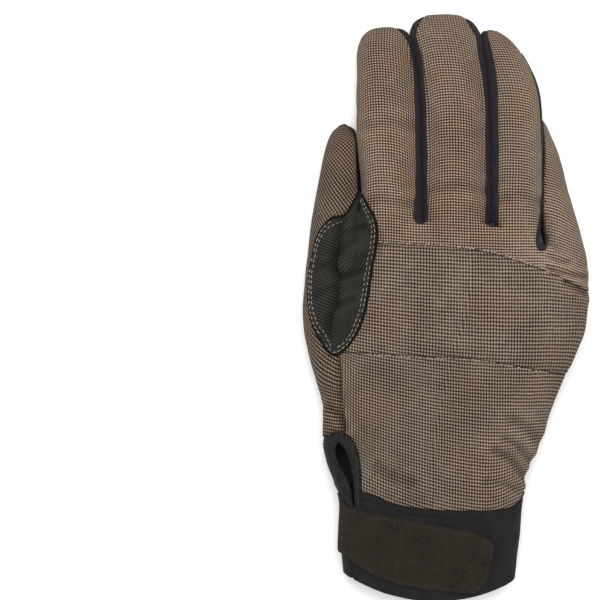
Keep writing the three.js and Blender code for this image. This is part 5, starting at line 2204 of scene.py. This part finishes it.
@dataclass
class BackPanels(SubAssembly):
    """The woven back: fingers, padded knuckles, hand and thumb."""

    finger_pitch: tuple = (1.22, 1.24)
    knuckle_pitch: tuple = (1.30, 1.6)
    hand_pitch: tuple = (1.20, 1.52)
    thumb_pitch: tuple = (1.24, 1.34)
    pad_height: float = 1.1
    pad_wall: float = 2.2
    pad_roll: EdgeRoll = EdgeRoll(1.1, 0.7)
    pad_puckers: float = 0.35
    pad_fill: float = 0.3
    seam_row: StitchRow = StitchRow(0.55, 1.6, 1.25, 0.66, 0.62, 16, 0.55)
    seam_level: float = 12.0  # no thread shows lower than this
    upper_span: tuple = (-34, 47)
    lower_span: tuple = (-36, 44)
    wedge: tuple = (62, 76)  # where the little fingertip narrows to a wedge
    wedge_left: float = 38.0
    wedge_gap: float = 0.45

    def fingers(self) -> list[Piece]:
        """Backs of the four fingers, one piece.

        Returns:
            The panel and the thread along its seam.
        """
        panel = ClothPanel("finger_backs", ("finger_back_panel",), "woven_taupe", TAUPE_FINGERS,
                           self.cloth.back, self.finger_pitch, thin=self.wedge_share)
        piece = panel.build(self.part(Part.FINGER_BACK))
        thread = self.seam_thread(panel, "upper_knuckle_thread", UPPER_KNUCKLE_SEAM, self.upper_span, 1)
        return [piece, thread]

    def knuckles(self) -> list[Piece]:
        """The padded panel over the knuckles.

        Returns:
            The panel.
        """
        panel = ClothPanel("knuckle_pad", ("knuckle_panel",), "woven_taupe", TAUPE_KNUCKLE,
                           self.cloth.back, self.knuckle_pitch, self.pad_wall, pad=self.pad_height,
                           roll=self.pad_roll, puckers=self.pad_puckers)
        piece = panel.build(self.part(Part.KNUCKLE))
        return [piece]

    def hand(self) -> list[Piece]:
        """The back of the hand.

        Returns:
            The panel and the thread along its seam.
        """
        panel = ClothPanel("hand_back", ("hand_back_panel",), "woven_taupe", TAUPE_HAND,
                           self.cloth.back, self.hand_pitch)
        piece = panel.build(self.part(Part.HAND_BACK))
        thread = self.seam_thread(panel, "lower_knuckle_thread", LOWER_KNUCKLE_SEAM, self.lower_span, -1)
        return [piece, thread]

    def thumb(self) -> list[Piece]:
        """The back of the thumb, down to the wrist.

        Returns:
            The panel.
        """
        panel = ClothPanel("thumb_back", ("thumb_back_panel",), "woven_taupe", TAUPE_THUMB,
                           self.cloth.thumb, self.thumb_pitch)
        return [panel.build(keep_largest(self.part(Part.THUMB_BACK)))]

    def seam_thread(self, panel: ClothPanel, name: str, seam: Sequence, span: tuple, side: int) -> Piece:
        """Sews the light thread that shows along a knuckle seam.

        Args:
            panel: the finished panel that it lies on.
            name: the thread's name.
            seam: the seam's line.
            span: from which x to which x the thread shows.
            side: 1 where the panel lies beyond the seam, -1 where it lies before it.

        Returns:
            The thread.
        """

        def shown(p: Array) -> Array:
            """True where the thread shows."""
            return (p[:, 2] > self.seam_level) & (p[:, 0] > span[0]) & (p[:, 0] < span[1])

        def beyond(p: Array) -> Array:
            """Distance from the seam into the panel."""
            return side * (p[:, 1] - line_at(seam, p[:, 0]))

        return panel.stitches(name, [self.seam_row], TAUPE_THREAD, shown, beyond)

    def wedge_share(self, points: Array) -> Array:
        """1 on the little fingertip, a wedge too narrow for two full walls."""
        beside = (points[:, 0] > self.wedge_left) & (RING.reach(points) > self.wedge_gap)
        return beside * smoothstep(points[:, 1], *self.wedge)

    def build(self) -> list[Piece]:
        """Makes the panels and their thread."""
        return self.fingers() + self.knuckles() + self.hand() + self.thumb()


@dataclass
class SideStrips(SubAssembly):
    """The black strips between the fingers."""

    roll: EdgeRoll = EdgeRoll(0.8, 0.55)
    sink: float = -0.1
    relief: float = 0.3
    dents: tuple = ((-11.9, 38.6), (19.0, 37.6), (40.7, 27.8))
    dent_depth: float = 0.5
    dent_size: tuple = (1.5, 2.4)
    strips: tuple = (
        (Part.STRIP_IM, "side_strip_index_middle", "fourchette_index_middle"),
        (Part.STRIP_MR, "side_strip_middle_ring", "fourchette_middle_ring"),
        (Part.STRIP_RL, "side_strip_ring_little", "fourchette_ring_little"),
    )

    def crotch_dent(self, points: Array) -> Array:
        """The hollow where each strip ends between two fingers."""
        dents = [np.square((points[:, :2] - dent) / self.dent_size).sum(axis=1) for dent in self.dents]
        return -self.dent_depth * sum(np.exp(-dent) for dent in dents)

    def build(self) -> list[Piece]:
        """Makes the three strips.

        Returns:
            The strips.
        """
        pieces = []
        for part, name, node in self.strips:
            panel = ClothPanel(name, (node,), "stretch_black", SIDE_STRETCH, self.cloth.plan, lift=self.sink,
                               roll=self.roll, relief=self.relief, profile=self.crotch_dent)
            pieces.append(panel.build(self.part(part)))
        return pieces


@dataclass
class PalmSide(SubAssembly):
    """The suede palm with its grip patches."""

    roll: EdgeRoll = EdgeRoll(1.0, 0.6)
    double_row: tuple = (StitchRow(1.4, 2.3, 1.7, 0.42), StitchRow(3.0, 2.3, 1.7, 0.42))
    index_right: float = -11.0
    index_thread_end: float = 92.0
    thumb_thread_end: float = 44.0

    def palm(self) -> Piece:
        """The suede palm with the fronts of fingers and thumb.

        Returns:
            The palm.
        """
        panel = ClothPanel("palm_suede_panel", ("palm_panel",), "suede_black", PALM_SUEDE, self.cloth.plan,
                           roll=self.roll)
        piece = panel.build(keep_largest(self.part(Part.PALM)))
        settle(piece)
        return piece

    def patch(self, name: str, node: str, line: Sequence, allowed: Array,
              thread_end: float) -> list[Piece]:
        """Makes one grip patch with its double row of stitches.

        Args:
            name: the patch's name.
            node: the CAD node that it stands for.
            line: its outline, seen from above.
            allowed: True for each face of the skin that it may lie on.
            thread_end: no stitches lie beyond this y.

        Returns:
            The patch and its stitches.
        """
        panel = self.patch_panel(name, (node,), "grip_rib", GRIP_RIB, self.cloth.plan)
        piece = panel.build(self.outlined(allowed, line))
        thread = panel.stitches(name + "_thread", self.double_row, GREY_THREAD,
                                lambda p: p[:, 1] < thread_end)
        return [piece, thread]

    def build(self) -> list[Piece]:
        """Makes the palm and its four patches.

        Returns:
            The palm, the patches and their stitches.
        """
        spots = face_places(self.skin.bm)
        below = spots[:, 2] < SIDE_SEAM[0][1]
        on_thumb = THUMB.reach(spots) < INDEX.reach(spots)
        off_thumb_tip = below & ~(on_thumb & (spots[:, 1] > THUMB_CROTCH))
        on_index = below & (spots[:, 0] < self.index_right)
        pieces = [self.palm()]
        pieces += self.patch("upper_palm_grip", "upper_palm_patch", UPPER_PATCH, off_thumb_tip, math.inf)
        pieces += self.patch("lower_palm_grip", "lower_palm_patch", LOWER_PATCH, below, math.inf)
        pieces += self.patch("index_tip_grip", "index_tip_patch", INDEX_TIP_PATCH, on_index,
                             self.index_thread_end)
        pieces += self.patch("thumb_tip_grip", "thumb_tip_patch", THUMB_TIP_PATCH, below & on_thumb,
                             self.thumb_thread_end)
        return pieces


@dataclass
class ThumbWeb(SubAssembly):
    """The dark patch over the web between thumb and hand."""

    pitch: tuple = (1.2, 1.19)
    double_row: tuple = (
        StitchRow(1.5, 2.3, 1.7, 0.32, uneven=0.25), StitchRow(3.0, 2.3, 1.7, 0.32, uneven=0.25),
    )
    right: float = -20.0
    thread_top: float = 37.0  # above this the stitches on the thumb's side are hidden in the fold
    hidden: tuple = (4.6, 3.6)  # and so far from the fold, below and above the next level
    hidden_turn: float = 44.5

    def shown(self, points: Array) -> Array:
        """True where the stitches aren't hidden in the fold.

        Args:
            points: positions on the glove.

        Returns:
            One truth for each point.
        """
        x, y, _ = points.T
        clear = line_x_at(WEB_VALLEY, y) + np.where(y < self.hidden_turn, *self.hidden)
        return (y < self.thread_top) | (x > clear)

    def build(self) -> list[Piece]:
        """Makes the patch and its stitches.

        Returns:
            The patch and its stitches.
        """
        spots = face_places(self.skin.bm)
        allowed = (spots[:, 2] > WEB_LOWEST) & (spots[:, 0] < self.right)
        panel = self.patch_panel("thumb_web", ("thumb_web_patch",), "web_rib", WEB_CLOTH, self.cloth.web,
                                 pitch=self.pitch)
        piece = panel.build(self.outlined(allowed, WEB_PATCH))
        return [piece, panel.stitches("thumb_web_thread", self.double_row, GREY_THREAD, self.shown)]


@dataclass
class Wrist(SubAssembly):
    """The bound vent, the elastic cuff and the strap."""

    binding_lift: float = 1.1
    binding_roll: EdgeRoll = EdgeRoll(1.7, 1.5)
    binding_channels: tuple = (0.95, 2.0)
    binding_groove: float = 0.42
    binding_supports: tuple = (0.15, 0.4, 0.7, 0.95, 1.2, 1.6, 2.0, 2.4)
    binding_fade: tuple = (46.5, 50.0)
    cuff_sink: float = -0.5
    cuff_roll: EdgeRoll = EdgeRoll(1.2, 0.7)
    cuff_wall: float = 1.5
    cuff_tuck: float = 1.6
    split_x: float = -42.1  # where the cuff's two ends meet
    split_width: float = 0.45
    split_depth: float = 1.1
    split_end: tuple = (-107, -104)
    hem_level: tuple = (8, 17)
    hem_folds: tuple = ((1.7, 1.2, 0.55), (3.6, 0.6, -0.35), (5.0, 0.8, 0.3))  # place, width, height
    strap_wall: float = 1.2
    strap_lift: float = 1.15
    strap_roll: EdgeRoll = EdgeRoll(0.8, 0.9)
    strap_supports: tuple = (0.15, 0.4, 0.8, 1.6, 2.4)
    strap_row: StitchRow = StitchRow(1.6, 1.9, 1.5, 0.36, 0.3)

    def binding(self) -> Piece:
        """The folded edge round the vent, which thins out round the side.

        Returns:
            The binding.
        """
        panel = ClothPanel("vent_edge", ("vent_binding",), "bound_edge", BINDING_BLACK, self.cloth.plan,
                           lift=self.binding_lift, roll=self.binding_roll, channels=self.binding_channels,
                           channel_depth=self.binding_groove, supports=self.binding_supports,
                           profile=lambda p: -smoothstep(-p[:, 0], *self.binding_fade))
        return panel.build(self.part(Part.BINDING))

    def cuff(self) -> Piece:
        """The elastic cuff, whose two ends meet under the strap.

        Returns:
            The cuff.
        """
        split = Outline(CUFF_SPLIT)
        bm = keep_inside(self.part(Part.CUFF, Part.BINDING), self.beyond_cuff)
        bm = keep_inside(bm, lambda p: np.where(p[:, 2] > STRAP_TURN, -split.signed(p), -1.0))
        for shift in (-2, -1, 0, 1, 2):
            cut_along(bm, bm_places(bm)[:, 0] - self.split_x - shift * self.split_width)
        panel = ClothPanel("elastic_cuff", ("cuff_band",), "cuff_knit", CUFF_KNIT, self.cloth.plan,
                           lift=self.cuff_sink, roll=self.cuff_roll, thickness=self.cuff_wall,
                           profile=self.hem_ridge)
        return panel.build(bm)

    def beyond_cuff(self, points: Array) -> Array:
        """Distance beyond the cuff, which reaches a little under the binding."""
        tucked = np.where(points[:, 2] > VENT_LOWEST, -self.cuff_tuck - self.skin.vent.signed(points), -1.0)
        return np.maximum(points[:, 1] - line_at(HEM, points[:, 0]), tucked)

    def strap(self) -> list[Piece]:
        """The strap of loop pile, sewn near its edge.

        Returns:
            The strap and its stitches.
        """
        over, under = Outline(STRAP_OVER), Outline(STRAP_UNDER)
        bm = self.part(Part.CUFF, Part.BINDING)
        cut_along(bm, bm_places(bm)[:, 2] - STRAP_TURN)
        bm = keep_inside(bm, lambda p: np.where(p[:, 2] > STRAP_TURN, over.signed(p), under.signed(p)))
        panel = ClothPanel("strap", ("wrist_strap",), "strap_pile", STRAP_PILE, self.cloth.plan,
                           thickness=self.strap_wall, lift=self.strap_lift, roll=self.strap_roll,
                           channels=(self.strap_row.inset,), supports=self.strap_supports)
        piece = panel.build(keep_largest(bm))
        return [piece, panel.stitches("strap_thread", [self.strap_row], DARK_THREAD)]

    def hem_ridge(self, points: Array) -> Array:
        """Relief of the folded hem under the woven back, and of the cuff's split.

        Args:
            points: positions on the cuff.

        Returns:
            The height at each point.
        """
        x, y, z = points.T
        below = line_at(HEM, x) - y
        folds = sum(height * np.exp(-(((below - place) / width) ** 2))
                    for place, width, height in self.hem_folds)
        groove = np.exp(-(((x - self.split_x) / self.split_width) ** 2))
        groove = groove * (1 - smoothstep(y, *self.split_end))
        return folds * smoothstep(z, *self.hem_level) - self.split_depth * groove * (z > STRAP_TURN)

    def build(self) -> list[Piece]:
        """Makes the binding, the cuff and the strap."""
        return [self.binding(), self.cuff(), *self.strap()]


@dataclass(frozen=True)
class Studio:
    """Camera, pale floor and soft light, in metres."""

    aim: tuple = (-0.0642, 0.0024)  # the place on the table that the camera is above
    sharp_height: float = 0.013
    view_width: float = 0.264
    lens: float = 120.0
    sensor: float = 36.0
    floor_grey: float = 0.9
    sky_strength: float = 0.52
    lamps: tuple = (("key", (0.02, 0.30, 1.15), 0.9, 17.5), ("fill", (-0.7, -0.2, 0.9), 0.9, 3.0))

    def camera(self) -> None:
        """Looks straight down, from the photograph's distance."""
        camera = bpy.data.cameras.new("camera")
        camera.lens = self.lens
        obj = bpy.data.objects.new("camera", camera)
        bpy.context.scene.collection.objects.link(obj)
        obj.location = (*self.aim, self.sharp_height + self.view_width / self.sensor * self.lens)
        bpy.context.scene.camera = obj
        bpy.context.scene.view_settings.view_transform = "Standard"

    def floor(self) -> None:
        """A plain pale floor."""
        bm = bmesh.new()
        bmesh.ops.create_grid(bm, x_segments=1, y_segments=1, size=2)
        floor = object_of(bm, "floor")
        material = bpy.data.materials.new("floor")
        material.use_nodes = True
        grey = (self.floor_grey, self.floor_grey, self.floor_grey, 1)
        material.node_tree.nodes["Principled BSDF"].inputs["Base Color"].default_value = grey
        floor.data.materials.append(material)

    def light(self) -> None:
        """An even sky and two square lamps that face the glove."""
        world = bpy.data.worlds.new("world")
        world.use_nodes = True
        world.node_tree.nodes["Background"].inputs["Color"].default_value = (1, 1, 1, 1)
        world.node_tree.nodes["Background"].inputs["Strength"].default_value = self.sky_strength
        bpy.context.scene.world = world
        for name, place, size, watts in self.lamps:
            lamp = bpy.data.lights.new(name, "AREA")
            lamp.energy = watts
            lamp.size = size
            obj = bpy.data.objects.new(name, lamp)
            obj.location = place
            obj.rotation_euler = Vector((0, 0, 1)).rotation_difference(Vector(place)).to_euler()
            bpy.context.scene.collection.objects.link(obj)

    def build(self) -> None:
        """Sets up the scene round the glove."""
        self.camera()
        self.floor()
        self.light()


def main() -> None:
    """Builds the studio and each part of the glove, and reports every piece."""
    Studio().build()
    skin = Skin(GloveForm().build())
    skin.cut()
    cloth = ClothMap()
    for kind in (BackPanels, SideStrips, PalmSide, ThumbWeb, Wrist):
        for piece in kind(skin, cloth).build():
            log.info("%s: %s, %d faces", kind.__name__, piece.name, len(piece.data.polygons))


if __name__ == "__main__":
    main()
